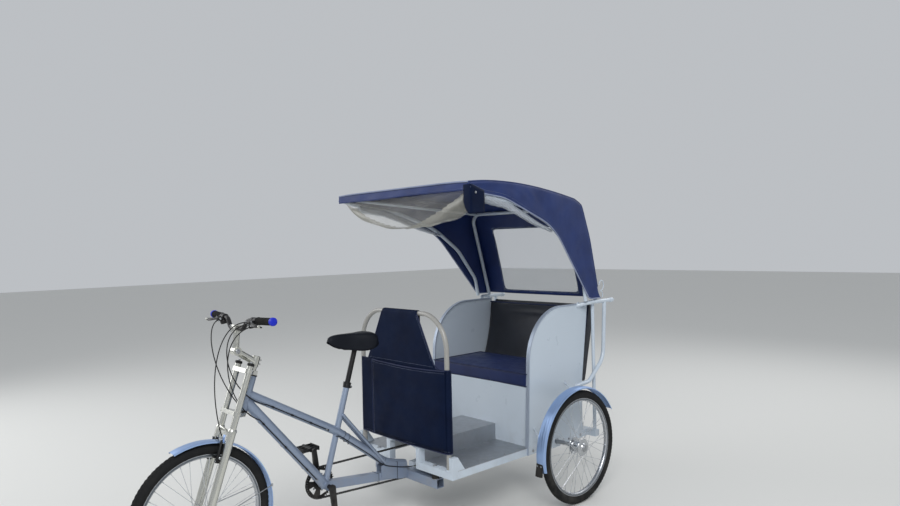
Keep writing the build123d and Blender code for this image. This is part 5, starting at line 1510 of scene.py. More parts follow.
def cable_eyelets():
    """Eyelets under the top tube and along the down tube."""
    bm = bmesh.new()
    for start, run, radius, sides, places in (
        (TOP_FRONT, TOP_RUN, TOP_TUBE_R, (1,), (0.15, 0.27, 0.39)),
        (DOWN_FRONT, DOWN_RUN, DOWN_TUBE_R, (-1, 1), (0.15, 0.33, 0.51)),
    ):
        for side in sides:
            across = under_tube(run, radius, side)
            for place in places:
                turned(bm, [(-0.006, 0.0046), (0.006, 0.0046)], start + run * place + across, run, 14)
    piece("cable_eyelets", bm, "plastic_moulded_black", 40)


def cable_ties():
    """Ties round the top tube and the lower tube."""
    bm = bmesh.new()
    for place in (0.045, 0.078, 0.368):
        tube(
            bm, circle_points(TOP_BACK + REAR_RUN * place, REAR_RUN, TOP_TUBE_R + 0.0006, 32), 0.0012, 6,
            closed=True,
        )
        slab(bm, TOP_BACK + REAR_RUN * place + Vector((0.01, 0, -0.027)), (0.004, 0.004, 0.014))
    for forward, low, high in ((1.055, 0.252, 0.2966), (0.925, 0.237, 0.3335)):
        loop = [
            at(x, forward, up)
            for x, up in ((0.0305, low), (0.0305, high), (-0.0255, high), (-0.0255, low))
        ]
        tube(bm, loop, 0.0014, 6, closed=True)
    piece("cable_ties", bm, "plastic_moulded_black", 40)


class BuildFrameDetails(bpy.types.Operator):
    """Weld beads at the frame's joints, cable ties, the seat clamp and the head set's cups."""

    bl_idname = "rickshaw.frame_details"
    bl_label = "Frame Details"

    def execute(self, context):
        frame_welds()
        cups_and_seat_clamp()
        cable_eyelets()
        cable_ties()
        return {"FINISHED"}


def saddle_cover():
    """Cover with its rolled edge and seams."""
    stations = [
        (1.338, 0.011, 1.06, 1.048), (1.335, 0.018, 1.069, 1.042), (1.32, 0.0225, 1.076, 1.036),
        (1.29, 0.0245, 1.08, 1.028), (1.256, 0.0265, 1.0815, 1.016), (1.225, 0.031, 1.0815, 1.003),
        (1.198, 0.042, 1.081, 0.993), (1.175, 0.056, 1.0805, 0.988), (1.152, 0.07, 1.0805, 0.986),
        (1.13, 0.083, 1.081, 0.987), (1.107, 0.093, 1.0815, 0.992), (1.086, 0.097, 1.079, 1.001),
        (1.07, 0.093, 1.073, 1.01), (1.06, 0.08, 1.066, 1.02), (1.0565, 0.06, 1.06, 1.032),
    ]
    bm = bmesh.new()
    rows = []
    for index, (forward, half, top, skirt) in enumerate(stations):
        row = []
        forward = min(forward, 1.2 - (1.2 - forward) * 0.88) if forward < 1.2 else forward
        half *= lerp(1.0, 0.8, min(1, index / 8))
        skirt -= 0.018 * exp(-(((forward - 1.27) / 0.045) ** 2))
        channel = 0.0035 * sin(pi * min(1, max(0, (index - 3) / 9))) if 3 <= index <= 12 else 0.0
        for k in range(-14, 15):
            share = k / 14
            size = abs(share)
            if size < 0.6:
                x = half * 0.8 * size / 0.6
                up = top - 0.009 * (size / 0.6) ** 2.2 - channel * exp(-((x / 0.012) ** 2))
            else:
                t = (size - 0.6) / 0.4
                x = half * (0.8 + 0.2 * sin(min(1, t * 1.5) * pi / 2))
                up = top - 0.009 - (top - 0.009 - skirt) * t**1.35
            row.append(at(copysign(x, share), forward, up))
        rows.append(row)
    verts = draped(bm, rows)
    for end in (verts[0], verts[-1]):
        bmesh.ops.contextual_create(bm, geom=end)
    rims = [[row[0] for row in rows], [row[-1] for row in rows]]
    seams = []
    for column in (6, 22):
        seams.append([row[column] + Vector((0, 0, 0.0012)) for row in rows[1:-1]])
    saddle = piece("saddle_cover", bm, "saddle_vinyl", 80, stands_for=["saddle"])
    thicken(saddle, 0.0035)
    smooth = saddle.modifiers.new("smooth", "SUBSURF")
    smooth.levels = smooth.render_levels = 1
    bm = bmesh.new()
    for rim in rims:
        tube(bm, rim, 0.0022, 6)
    for seam in seams:
        stitches(bm, seam, 0.005, 0.0032, 0.0005)
    piece("saddle_edge", bm, "saddle_vinyl", 60)


def saddle_rails():
    """Rails and clamp bolts below it."""
    bm = bmesh.new()
    clamp = on_seat(0.734)
    for side in (1, -1):
        bolt(bm, clamp + Vector((side * 0.0245, 0, 0)), (side, 0, 0), 0.0055)
        rail = [(0.01, 1.318, 1.046), (0.0135, 1.29, 1.04), (0.016, 1.258, 1.0365), (0.016, 1.2, 1.0365)]
        tube(bm, [at(side * x, f, u) for x, f, u in rail], 0.0033, 10)
        tail = [(0.016, 1.13, 1.0365), (0.02, 1.096, 1.0375), (0.027, 1.076, 1.046)]
        tube(bm, [at(side * x, f, u) for x, f, u in tail], 0.0033, 10)
    piece("saddle_rails", bm, "bolt_zinc", 35)


class BuildSaddle(bpy.types.Operator):
    """Sculpted saddle: rounded top with a shallow channel, flared rear and thin turned-down skirt."""

    bl_idname = "rickshaw.saddle"
    bl_label = "Saddle"

    def execute(self, context):
        saddle_cover()
        saddle_rails()
        return {"FINISHED"}


def fork_fittings():
    """Seals, caps, crown bolts, drop-outs, axle nuts and brace."""
    bm = bmesh.new()
    for side in (1, -1):
        leg = on_steer(side * 0.062, 0.05, 0)
        turned(
            bm, [(0.391, 0.0197), (0.392, 0.0206), (0.399, 0.0206), (0.404, 0.0185), (0.408, 0.0165)],
            leg, STEER_AXIS, 36, 2,
        )
        turned(
            bm, [(0.699, 0.015), (0.7005, 0.0172), (0.709, 0.0172), (0.7125, 0.0145), (0.7135, 0.006)],
            leg, STEER_AXIS, 36,
        )
        turned(bm, [(0.7135, 0.006), (0.719, 0.006), (0.72, 0.0045)], leg, STEER_AXIS, 12, 1)
        for up in (0.476, 0.674):
            for turn in (0.0065, -0.0065):
                place = on_steer(side * 0.0825, 0.046, up + turn)
                turned(bm, [(-0.004, 0.0036), (0.002, 0.0036), (0.0026, 0.003)], place, (side, 0, 0), 12, 1)
        slab(bm, on_steer(side * 0.062, 0.05, -0.004), (0.01, 0.03, 0.046), STEER_FRAME, 0.004)
        hub = at(side * 0.0715, WHEELBASE, WHEEL_R)
        turned(bm, [(0, 0.0125), (0.0025, 0.0125), (0.003, 0.0118)], hub, (side, 0, 0), 28, 1)
        turned(bm, [(0.003, 0.0098), (0.011, 0.0098), (0.0125, 0.0082)], hub, (side, 0, 0), 6, 1)
        turned(bm, [(0.011, 0.005), (0.022, 0.005), (0.023, 0.0042)], hub, (side, 0, 0), 16, 1)
    arch = [
        on_steer(x, f, u)
        for x, f, u in (
            (-0.058, 0.052, 0.366), (-0.05, 0.06, 0.386), (-0.028, 0.067, 0.3975), (0, 0.069, 0.4005),
            (0.028, 0.067, 0.3975), (0.05, 0.06, 0.386), (0.058, 0.052, 0.366),
        )
    ]
    tube(bm, smooth_points(arch, 5), 0.0085, 14, look=2, flat=0.6)
    piece(
        "fork_fittings", bm, ["aluminium_black_anodised", "bolt_zinc", "fork_satin_chrome"],
        35, "steering",
    )


def stem_fittings():
    """Clamp plate, pivot caps, spacers and top cap."""
    bm = bmesh.new()
    elbow = at(0, WHEELBASE - 0.184, 1.062)
    clamp = at(0, WHEELBASE - 0.192, 1.168)
    rise = (clamp - elbow).normalized()
    front = Vector((0, -1, 0)) - rise * -rise.y
    front.normalize()
    slab(bm, clamp + front * 0.0165, (0.046, 0.009, 0.036), [(1, 0, 0), tuple(front), tuple(rise)], 0.0025)
    for side in (1, -1):
        for high in (1, -1):
            place = clamp + front * 0.021 + Vector((side * 0.017, 0, 0)) + rise * (high * 0.0125)
            turned(bm, [(-0.002, 0.0036), (0.003, 0.0036), (0.0036, 0.003)], place, front, 12, 1)
        turned(
            bm, [(0, 0.0115), (0.0035, 0.0115), (0.0045, 0.01)], elbow + Vector((side * 0.022, 0, 0)),
            (side, 0, 0), 28, 1,
        )
        turned(
            bm, [(0.0035, 0.0055), (0.009, 0.0055), (0.01, 0.0048)], elbow + Vector((side * 0.022, 0, 0)),
            (side, 0, 0), 6, 1,
        )
    for k in range(2):
        ring = 0.703 + 0.0065 * k
        turned(
            bm,
            [(ring, 0.0185), (ring + 0.001, 0.0197), (ring + 0.0045, 0.0197), (ring + 0.0055, 0.0185)],
            on_steer(0, 0, 0), STEER_AXIS, 36,
        )
    cap = on_steer(0, 0, 0.746)
    turned(bm, [(0, 0.0185), (0.004, 0.0185), (0.0065, 0.016), (0.0075, 0.006)], cap, STEER_AXIS, 36)
    for high in (0.716, 0.736):
        for side in (1, -1):
            turned(
                bm, [(-0.006, 0.0032), (0.003, 0.0032), (0.0036, 0.0026)],
                on_steer(side * 0.0065, -0.0225, high), (side, 0, 0), 12, 1,
            )
            slab(bm, on_steer(side * 0.0048, -0.0205, high), (0.006, 0.011, 0.01), STEER_FRAME, 0.0015)
    piece("stem_fittings", bm, ["fork_satin_chrome", "bolt_zinc"], 35, "steering")


class BuildForkDetails(bpy.types.Operator):
    """Seals, caps, crown bolts, brace, drop-outs, axle nuts and stem hardware on the steering part."""

    bl_idname = "rickshaw.fork_details"
    bl_label = "Fork Details"

    def execute(self, context):
        fork_fittings()
        stem_fittings()
        return {"FINISHED"}


def bar_frame():
    """Tip of the left half of the handlebar and the direction from it towards the middle."""
    tip = at(0.3, WHEELBASE - 0.218, 1.216)
    return tip, (at(0.105, WHEELBASE - 0.198, 1.21) - tip).normalized()


def handle_grip(bm, start, run):
    """Ribbed grip with a flange and a coloured end plug."""
    profile = [(-0.001, 0.0135), (0, 0.018), (0.004, 0.0188)]
    for k in range(19):
        place = 0.008 + 0.0052 * k
        profile += [
            (place, 0.0172), (place + 0.0012, 0.016), (place + 0.0026, 0.016), (place + 0.0038, 0.0172)
        ]
    profile += [(0.108, 0.0172), (0.11, 0.0186), (0.1125, 0.0186), (0.1135, 0.0112)]
    turned(bm, profile, start, run, 32)
    turned(
        bm,
        [
            (-0.0105, 0.008), (-0.0095, 0.015), (-0.007, 0.0185), (-0.001, 0.0192), (0.006, 0.0192),
            (0.0075, 0.0178),
        ], start, run, 32, 1,
    )


def brake_lever(bm, clamp, run, side):
    """Clamp, body, blade and barrel adjuster of a brake lever."""
    turned(bm, [(-0.01, 0.0118), (-0.009, 0.0165), (0.009, 0.0165), (0.01, 0.0118)], clamp, run, 32)
    turned(bm, [(0.013, 0.0118), (0.014, 0.017), (0.032, 0.017), (0.033, 0.0118)], clamp, run, 32)
    body = clamp + Vector((0, -0.025, -0.006))
    slab(bm, clamp + Vector((0, -0.019, -0.004)), (0.024, 0.03, 0.017), bevel=0.004)
    slab(bm, body + Vector((-side * 0.008, -0.004, 0)), (0.036, 0.018, 0.016), bevel=0.005)
    turned(
        bm, [(-0.0105, 0.0042), (0.0105, 0.0042)], body + Vector((side * 0.01, -0.004, 0)), (0, 0, 1), 14,
        1,
    )
    blade = [
        (0.008, -0.004, 0.0), (0.026, -0.01, -0.003), (0.048, -0.0155, -0.006), (0.07, -0.016, -0.008),
        (0.088, -0.012, -0.0085), (0.1, -0.0135, -0.0085),
    ]
    path = smooth_points([body + Vector((side * x, y, z)) for x, y, z in blade], 5)
    widths = [lerp(0.0065, 0.0088, sin(pi * min(1, k / (len(path) - 1)))) for k in range(len(path))]
    tube(bm, path, widths, 12, flat=0.5)
    bulb = path[-1]
    turned(
        bm, [(-0.007, 0.003), (-0.004, 0.0062), (0, 0.0074), (0.004, 0.0062), (0.007, 0.003)], bulb,
        path[-1] - path[-2], 18, 2,
    )
    turned(
        bm, [(0, 0.0048), (0.01, 0.0048), (0.012, 0.0056), (0.016, 0.0056), (0.02, 0.003)],
        body + Vector((-side * 0.024, -0.004, 0)), (-side, 0, 0), 16, 1,
    )


def gear_shifter(bm, clamp, run, side):
    """Round shifter under the bar with its two paddles."""
    pod = clamp + run * 0.0235 + Vector((0, -0.006, -0.021))
    turned(
        bm, [(-0.011, 0.006), (-0.009, 0.0155), (0.004, 0.0175), (0.01, 0.0155), (0.012, 0.006)], pod,
        (0, -0.25, 1), 28,
    )
    paddle = [
        pod + Vector((side * x, y, z))
        for x, y, z in ((0.002, 0.012, -0.006), (0.014, 0.026, -0.01), (0.026, 0.034, -0.01))
    ]
    tube(bm, paddle, [0.0045, 0.005, 0.0042], 10, flat=0.5)
    paddle = [
        pod + Vector((side * x, y, z))
        for x, y, z in ((0.004, -0.01, 0.004), (0.018, -0.014, 0.002), (0.028, -0.012, 0))
    ]
    tube(bm, paddle, [0.004, 0.0046, 0.0038], 10, flat=0.5, look=1)


def grips_and_levers():
    """Both ends of the bar."""
    tip, inward = bar_frame()
    grips, levers = bmesh.new(), bmesh.new()
    for side in (1, -1):
        start = Vector((side * tip.x, tip.y, tip.z))
        run = Vector((side * inward.x, inward.y, inward.z))
        clamp = start + run * 0.13
        handle_grip(grips, start, run)
        brake_lever(levers, clamp, run, side)
        gear_shifter(levers, clamp, run, side)
    piece(
        "bar_grips", grips, ["rubber_moulded_black", "plastic_moulded_blue"], 35, "steering",
        stands_for=["grips"],
    )
    piece(
        "bar_levers", levers, ["aluminium_black_anodised", "bolt_zinc", "fork_satin_chrome"],
        35, "steering", stands_for=["brake_levers"],
    )


class BuildControls(bpy.types.Operator):
    """Ribbed grips with blue end caps, brake levers on hinged bodies, and gear shifters."""

    bl_idname = "rickshaw.controls"
    bl_label = "Grips and Levers"

    def execute(self, context):
        grips_and_levers()
        return {"FINISHED"}


def rim_brake():
    """Arms, pads and guide tube."""
    bm = bmesh.new()
    for side in (1, -1):
        arm = [
            (0.0455, 0.078, 0.252), (0.048, 0.079, 0.268), (0.0475, 0.079, 0.3), (0.0435, 0.078, 0.332),
            (0.04, 0.078, 0.352),
        ]
        tube(
            bm, smooth_points([on_steer(side * x, f, u) for x, f, u in arm], 4),
            [lerp(0.0085, 0.0052, k / 16) for k in range(17)], 12, flat=0.75,
        )
        stud = on_steer(side * 0.0455, 0.072, 0.256)
        turned(bm, [(-0.01, 0.0085), (0.008, 0.0085), (0.009, 0.0072)], stud, STEER_AHEAD, 20)
        turned(bm, [(0.009, 0.0045), (0.0125, 0.0045), (0.0135, 0.0035)], stud, STEER_AHEAD, 6, 2)
        slab(bm, on_steer(side * 0.024, 0.068, 0.273), (0.0075, 0.05, 0.0105), STEER_FRAME, 0.002, 1)
        slab(bm, on_steer(side * 0.029, 0.068, 0.273), (0.0035, 0.052, 0.012), STEER_FRAME, 0.001)
        turned(bm, [(0, 0.0038), (0.022, 0.0038)], on_steer(side * 0.03, 0.07, 0.273), (side, 0, 0), 12, 2)
        turned(
            bm, [(0, 0.0065), (0.004, 0.0065), (0.005, 0.005)], on_steer(side * 0.053, 0.07, 0.273),
            (side, 0, 0), 6, 2,
        )
        turned(
            bm, [(-0.003, 0.0035), (0.004, 0.0035)], on_steer(side * 0.04, 0.0835, 0.35), STEER_AHEAD, 6,
            2,
        )
    curve = [(0.01, 0.352), (0.03, 0.3525), (0.0395, 0.356), (0.0415, 0.362)]
    tube(bm, smooth_points([on_steer(x, 0.08, u) for x, u in curve], 5), 0.0026, 10, look=2)
    line = [on_steer(-0.04, 0.08, 0.35), on_steer(0.01, 0.08, 0.352)]
    tube(bm, line, 0.0009, 8, look=2)
    profile = []
    for k in range(7):
        profile += [(0.004 * k, 0.003), (0.004 * k + 0.002, 0.0044)]
    turned(bm, profile, on_steer(-0.013, 0.08, 0.351), (1, 0, 0), 16, 1)
    piece(
        "brake_parts", bm, ["aluminium_black_anodised", "rubber_moulded_black", "bolt_zinc"],
        35, "steering", stands_for=["rim_brake"],
    )


class BuildRimBrake(bpy.types.Operator):
    """Two brake arms on their studs, long pads in holders, curved guide tube with rubber bellows."""

    bl_idname = "rickshaw.rim_brake"
    bl_label = "Rim Brake"

    def execute(self, context):
        rim_brake()
        return {"FINISHED"}


FERRULE = [(-0.001, 0.0032), (0.012, 0.0032), (0.013, 0.0026)]
LOWER_FERRULE = [(-0.014, 0.0026), (-0.013, 0.0033), (0.001, 0.0033)]
CABLE_STOP = [(-0.004, 0.0046), (0.004, 0.0046)]
CASING_LOOKS = ["casing_extruded_pvc", "bolt_zinc"]


def lever_end():
    """Where the left brake lever lets its cable go."""
    tip, inward = bar_frame()
    body = tip + inward * 0.131 + Vector((0, -0.025, -0.006))
    return Vector((body.x - 0.0095, body.y, body.z))


def front_brake_casing(sizes, left):
    """Casing from the left lever down to the rim brake."""
    bm = bmesh.new()
    ends = (at(0.07, WHEELBASE - 0.07, 1.235), at(0.03, WHEELBASE - 0.02, 0.96))
    route = swoop(left, ends[0], ends[1], on_steer(0.04, 0.078, 0.358), 40)
    tube(bm, route, sizes.casing_radius, 10)
    for place, other in ((route[0], route[2]), (route[-1], route[-3])):
        turned(bm, FERRULE, place, other - place, 14, 1)
    piece("front_brake_casing", bm, CASING_LOOKS, 60, "steering", stands_for=["front_brake_cable"])


def bar_and_frame_casings(sizes, left):
    """Casings that bend from bar to frame, and those held along the tubes."""
    tubes = (1, TOP_FRONT, TOP_BACK, TOP_TUBE_R, 0.07), (-1, DOWN_FRONT, CRANK, DOWN_TUBE_R, 0.113)
    bm, held = bmesh.new(), bmesh.new()
    for side, start, end, radius, stop in tubes:
        run = (end - start).normalized()
        under = under_tube(run, radius, side)
        pulls = (at(side * 0.06, WHEELBASE - 0.04, 1.2), at(side * 0.04, WHEELBASE - 0.1, 0.86))
        first = Vector((side * left.x, left.y, left.z - 0.007))
        route = swoop(first, pulls[0], pulls[1], start + run * 0.12 + under, 48)
        tube(bm, route, sizes.casing_radius, 10)
        turned(bm, FERRULE, route[0], route[2] - route[0], 14, 1)
        reach = (end - start).length - stop
        tube(held, [start + run * 0.1205 + under, start + run * reach + under], sizes.casing_radius, 10)
        turned(held, LOWER_FERRULE, start + run * reach + under, run, 14, 1)
        turned(held, CABLE_STOP, start + run * reach + under, run, 14)
    start, end, run = DOWN_FRONT, CRANK, DOWN_RUN
    under = under_tube(run, DOWN_TUBE_R, 1)
    pod = Vector((left.x - 0.02, left.y + 0.012, left.z - 0.022))
    route = swoop(
        pod, at(0.085, WHEELBASE - 0.03, 1.14), at(0.05, WHEELBASE - 0.11, 0.8),
        start + run * 0.12 + under, 48,
    )
    tube(bm, route, sizes.casing_radius, 10)
    tube(held, [start + run * 0.1205 + under, end - run * 0.075 + under], sizes.casing_radius, 10)
    turned(held, CABLE_STOP, end - run * 0.075 + under, run, 14, 1)
    rear = [
        (0.0225, 1.318, 0.556), (0.0185, 1.285, 0.5445), (0.0175, 1.2, 0.4822), (0.019, 1.1, 0.407),
        (0.0235, 1.045, 0.357), (0.027, 1.0, 0.329), (0.027, 0.925, 0.305), (0.0275, 0.86, 0.289),
        (0.03, 0.79, 0.281), (0.024, 0.7, 0.278), (0.023, 0.56, 0.278),
    ]
    tube(held, smooth_points([at(*p) for p in rear], 6), sizes.casing_radius, 10)
    casing = piece("bar_casings", bm, CASING_LOOKS, 60, None, stands_for=["bar_cables"])
    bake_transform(casing)
    piece("frame_casings", held, CASING_LOOKS, 60, stands_for=["frame_cables"])


class BuildCables(bpy.types.Operator):
    """Outer casings along the held cables, with ferrules, and those that run from the bar down to the
    frame.
    """

    bl_idname = "rickshaw.cables"
    bl_label = "Cables"

    def execute(self, context):
        sizes, left = context.scene.rickshaw_sizes, lever_end()
        front_brake_casing(sizes, left)
        bar_and_frame_casings(sizes, left)
        return {"FINISHED"}


def belt_path(circles):
    """Loop of tangent runs and arcs round circles of (ahead, up, radius), in order."""
    made = []
    count = len(circles)
    normals = []
    for i in range(count):
        (f1, u1, r1), (f2, u2, r2) = circles[i], circles[(i + 1) % count]
        length = hypot(f2 - f1, u2 - u1)
        base = atan2(u2 - u1, f2 - f1)
        normals.append(base - acos((r1 - r2) / length))
    for i in range(count):
        f, u, r = circles[i]
        start, end = normals[i - 1], normals[i]
        while end < start:
            end += 2 * pi
        steps = max(2, int((end - start) / radians(4)))
        for k in range(steps + 1):
            a = lerp(start, end, k / steps)
            made.append(Vector((0, f + r * cos(a), u + r * sin(a))))
    return made + [made[0]]


def chain_links():
    """Links and pins along the pitch line."""
    ring = PITCH / (2 * sin(pi / 40))
    sprocket = PITCH / (2 * sin(pi / 22))
    path = belt_path([(CRANK_AHEAD, CRANK_Z, ring), (0.0, WHEEL_R, sprocket), (0.74, 0.225, 0.0285)])
    lengths = arc_lengths(path)
    count = 2 * round(lengths[-1] / PITCH / 2)
    pins = [along_path(path, lengths, lengths[-1] * k / count) for k in range(count)]
    bm = bmesh.new()
    outline = [(end, pi * (k / 4 - end * 0.5)) for end in (1, -1) for k in range(5)]
    for number in range(count):
        a, b = pins[number], pins[(number + 1) % count]
        run = (b - a).normalized()
        up = Vector((0, -run.z, run.y))
        outer = number % 2
        offset = 0.004 if outer else 0.0028
        for side in (1, -1):
            plate = bmesh.new()
            for end, angle in outline:
                p = (b if end > 0 else a) + run * (0.0042 * cos(angle)) + up * (0.0042 * sin(angle))
                plate.verts.new(at(CHAIN_X + side * offset, p.y, p.z))
            face = plate.faces.new(plate.verts[:])
            grown = bmesh.ops.extrude_face_region(plate, geom=[face])["geom"]
            verts = [item for item in grown if isinstance(item, bmesh.types.BMVert)]
            bmesh.ops.translate(plate, vec=(side * 0.001, 0, 0), verts=verts)
            add_shape(bm, plate, 0)
        straight = min(
            (a - Vector((0, f, u))).length - r
            for f, u, r in ((CRANK_AHEAD, CRANK_Z, ring), (0.0, WHEEL_R, sprocket))
        )
        place = at(CHAIN_X, a.y, a.z)
        if straight > 0.012:
            turned(bm, [(-0.0028, 0.0038), (0.0028, 0.0038)], place, (1, 0, 0), 8)
        for side in (1, -1):
            turned(bm, [(0.005, 0.0018), (0.0057, 0.0016)], place, (side, 0, 0), 6, 1)
    piece("chain_links", bm, ["drive_steel", "bolt_zinc"], 35, stands_for=["chain"])


def crank_caps():
    """Ring bolts and the caps of the crank axle."""
    bm = bmesh.new()
    for k in range(5):
        angle = 2 * pi * (k + 0.5) / 5
        place = CRANK + Vector((CHAIN_X - 0.002, -0.043 * cos(angle), 0.043 * sin(angle)))
        turned(bm, [(0, 0.006), (0.002, 0.006), (0.003, 0.005)], place, (-1, 0, 0), 18)
    for side in (1, -1):
        turned(
            bm, [(0, 0.0135), (0.002, 0.013), (0.003, 0.01)], CRANK + Vector((side * 0.076, 0, 0)),
            (side, 0, 0), 28, 1,
        )
    piece("crank_caps", bm, ["bolt_zinc", "plastic_moulded_black"], 35, "crank")


class BuildChain(bpy.types.Operator):
    """Roller chain of inner and outer links on the pitch line, and bolts on the toothed ring."""

    bl_idname = "rickshaw.chain"
    bl_label = "Chain"

    def execute(self, context):
        chain_links()
        crank_caps()
        return {"FINISHED"}


def pedals():
    """Left and right platform."""
    for word, side in (("left", 1), ("right", -1)):
        tilt = radians(6)
        forward, up = CRANK_AHEAD - side * 0.167 * sin(tilt), CRANK_Z - side * 0.167 * cos(tilt)
        centre = at(side * 0.138, forward, up)
        bm = bmesh.new()
        turned(
            bm,
            [
                (-0.046, 0.0105), (-0.044, 0.0135), (-0.02, 0.0115), (0.02, 0.0115), (0.04, 0.0135),
                (0.0455, 0.01),
            ], centre, (side, 0, 0), 24,
        )
        for end in (1, -1):
            slab(bm, centre + Vector((0, end * 0.046, 0)), (0.088, 0.0055, 0.02), bevel=0.0015)
            for k in range(9):
                for face in (1, -1):
                    place = centre + Vector((-0.038 + 0.0095 * k, end * 0.046, face * 0.0105))
                    turned(bm, [(0, 0.0026), (0.0014, 0.0014)], place, (0, 0, face), 6)
            slab(bm, centre + Vector((end * 0.0425, 0, 0)), (0.0055, 0.088, 0.016), bevel=0.0015)
            for middle in (-0.016, 0.016):
                slab(bm, centre + Vector((middle, end * 0.0285, 0)), (0.0055, 0.032, 0.012), bevel=0.001)
        turned(bm, [(0.0455, 0.0088), (0.047, 0.0088), (0.0478, 0.006)], centre, (side, 0, 0), 6, 1)
        piece(
            f"pedal_cage_{word}", bm, ["plastic_moulded_black", "bolt_zinc"], 35,
            f"{word}_pedal", stands_for=[f"pedal_{word}"],
        )


class BuildPedals(bpy.types.Operator):
    """Platform pedals: barrel, side rails with teeth on both faces, and end plates."""

    bl_idname = "rickshaw.pedals"
    bl_label = "Pedals"

    def execute(self, context):
        pedals()
        return {"FINISHED"}


# Mudguards


def arc_sweep(bm, section, hub, start, arc, steps=54):
    """Spins a closed (sideways, radius) section part of the way round a wheel, from ahead over the top."""
    turn = radians(start)
    out = Vector((0, -cos(turn), sin(turn)))
    part = bmesh.new()
    verts = [part.verts.new(hub + out * r + Vector((x, 0, 0))) for x, r in section]
    edges = [part.edges.new(pair) for pair in zip(verts, verts[1:] + verts[:1])]
    bmesh.ops.spin(part, geom=verts + edges, cent=hub, axis=(-1, 0, 0), angle=radians(arc), steps=steps)
    bmesh.ops.holes_fill(part, edges=part.edges[:])
    add_shape(bm, part, 0)


def guard_section(half, radius, height=0.0):
    """Crowned guard with rolled edges, and ribs of this height, as (sideways, radius) pairs."""
    outer = []
    for k in range(-20, 21):
        x = half * k / 20
        rib = height * (
            exp(-(((abs(x) - half * 0.6) / 0.0024) ** 2)) + exp(-(((abs(x) - half * 0.26) / 0.0024) ** 2))
        )
        outer.append((x, radius + 0.0024 - 0.0045 * abs(x / half) ** 3 + rib))
    right_edge = [
        (half + 0.0006, radius - 0.0045), (half + 0.0002, radius - 0.0075),
        (half - 0.0016, radius - 0.008),
    ]
    inner = [(x, r - 0.0014) for x, r in reversed(outer[1:-1])]
    left_edge = [(-x, r) for x, r in reversed(right_edge)]
    return outer + right_edge + inner + left_edge


def front_guard():
    """Guard on the fork, with its tongue and stays."""
    front = at(0, WHEELBASE, WHEEL_R)
    bm = bmesh.new()
    arc_sweep(bm, guard_section(0.031, 0.343), front, 68, 124)
    tongue = [on_steer(x, 0.05, u) for x, u in ((0, 0.343), (0, 0.373))]
    slab(bm, (tongue[0] + tongue[1]) / 2, (0.02, 0.003, 0.032), STEER_FRAME, 0.0008)
    stay_turn = radians(168)
    stay = front + Vector((0, -0.343 * cos(stay_turn), 0.343 * sin(stay_turn)))
    for side in (1, -1):
        ends = [
            at(side * 0.088, WHEELBASE - 0.012, WHEEL_R), stay + Vector((side * 0.036, 0, 0)),
            stay + Vector((side * 0.031, 0.003, -0.006)),
        ]
        tube(bm, bent_path(ends, [0.006]), 0.0024, 10, look=1)
        bolt(bm, stay + Vector((side * 0.0325, 0, 0.001)), (side, 0, 0), 0.0035, 1)
        bolt(bm, at(side * 0.0885, WHEELBASE - 0.012, WHEEL_R), (side, 0, 0), 0.004, 1)
    # The guard's pale blue finish is a painted reflection of the sky
    piece(
        "guard_front", bm, ["guard_steel_painted_sky", "bolt_zinc"], 32, "steering",
        stands_for=["front_guard"],
    )


def rear_guards(sizes):
    """Ribbed guards with three stays each."""
    for word, side in (("left", 1), ("right", -1)):
        hub = at(side * HALF_TRACK, 0, WHEEL_R)
        bm = bmesh.new()
        arc_sweep(bm, guard_section(sizes.guard_half, 0.35, 0.0011), hub, -12, 162, 72)
        for angle in (20, 85, 146):
            turn = radians(angle)
            out = Vector((0, -cos(turn), sin(turn)))
            edge = hub + out * 0.347 + Vector((-side * 0.0325, 0, 0))
            if angle < 120:
                root = Vector((side * 0.4215, edge.y + 0.118, edge.z - 0.004))
            else:
                root = at(side * 0.4665, -0.345, edge.z - 0.046)
            tube(bm, [root, edge], 0.004, 12, look=1)
            foot = (edge - root).normalized()
            tube(bm, [root - foot * 0.0005, root + foot * 0.003], [0.0085, 0.0085], 18, look=1)
            along = out.cross(Vector((1, 0, 0)))
            slab(
                bm, edge + Vector((side * 0.001, 0, 0)), (0.003, 0.02, 0.014),
                [(1, 0, 0), tuple(along), tuple(out)], 0.001, 1,
            )
            for shift in (-0.006, 0.006):
                bolt(bm, edge + Vector((-side * 0.0008, 0, 0)) + along * shift, (-side, 0, 0), 0.0028, 1)
        # The guard's pale blue finish is a painted reflection of the sky
        piece(
            f"guard_rear_{word}", bm, ["guard_steel_painted_sky", "cab_enamel_white"], 32,
            stands_for=["rear_guards"],
        )


def rubber_flaps():
    """Flaps hung from the rear guards."""
    bm = bmesh.new()
    for side in (1, -1):
        hub = at(side * HALF_TRACK, 0, WHEEL_R)
        turn = radians(-6)
        out = Vector((0, -cos(turn), sin(turn)))
        down = Vector((0, sin(turn), -cos(turn)))
        top = hub + out * 0.3536 + Vector((-side * 0.008, 0, 0.012))
        rings = []
        for k in range(9):
            t = k / 8
            centre = top + down * (0.07 * t) + out * (0.004 * t * t)
            half = lerp(0.023, 0.025, t)
            row = []
            for j in range(9):
                x = lerp(-half, half, j / 8)
                bulge = -0.004 * abs(x / half) ** 3 + 0.001 * wave(x, t, side, 0.03, 4) * t
                row.append(centre + out * (0.0022 + bulge) + Vector((x, 0, 0)))
            for j in range(8, -1, -1):
                x = lerp(-half, half, j / 8)
                row.append(centre + out * (-0.0012 - 0.004 * abs(x / half) ** 3) + Vector((x, 0, 0)))
            rings.append(row)
        loft(bm, rings)
        for x in (-0.013, 0.013):
            bolt(bm, top + down * 0.012 + out * 0.0022 + Vector((x, 0, 0)), out, 0.0032, 1)
    piece(
        "rubber_flaps", bm, ["rubber_moulded_black", "bolt_zinc"], 40,
        stands_for=["guard_flaps"],
    )


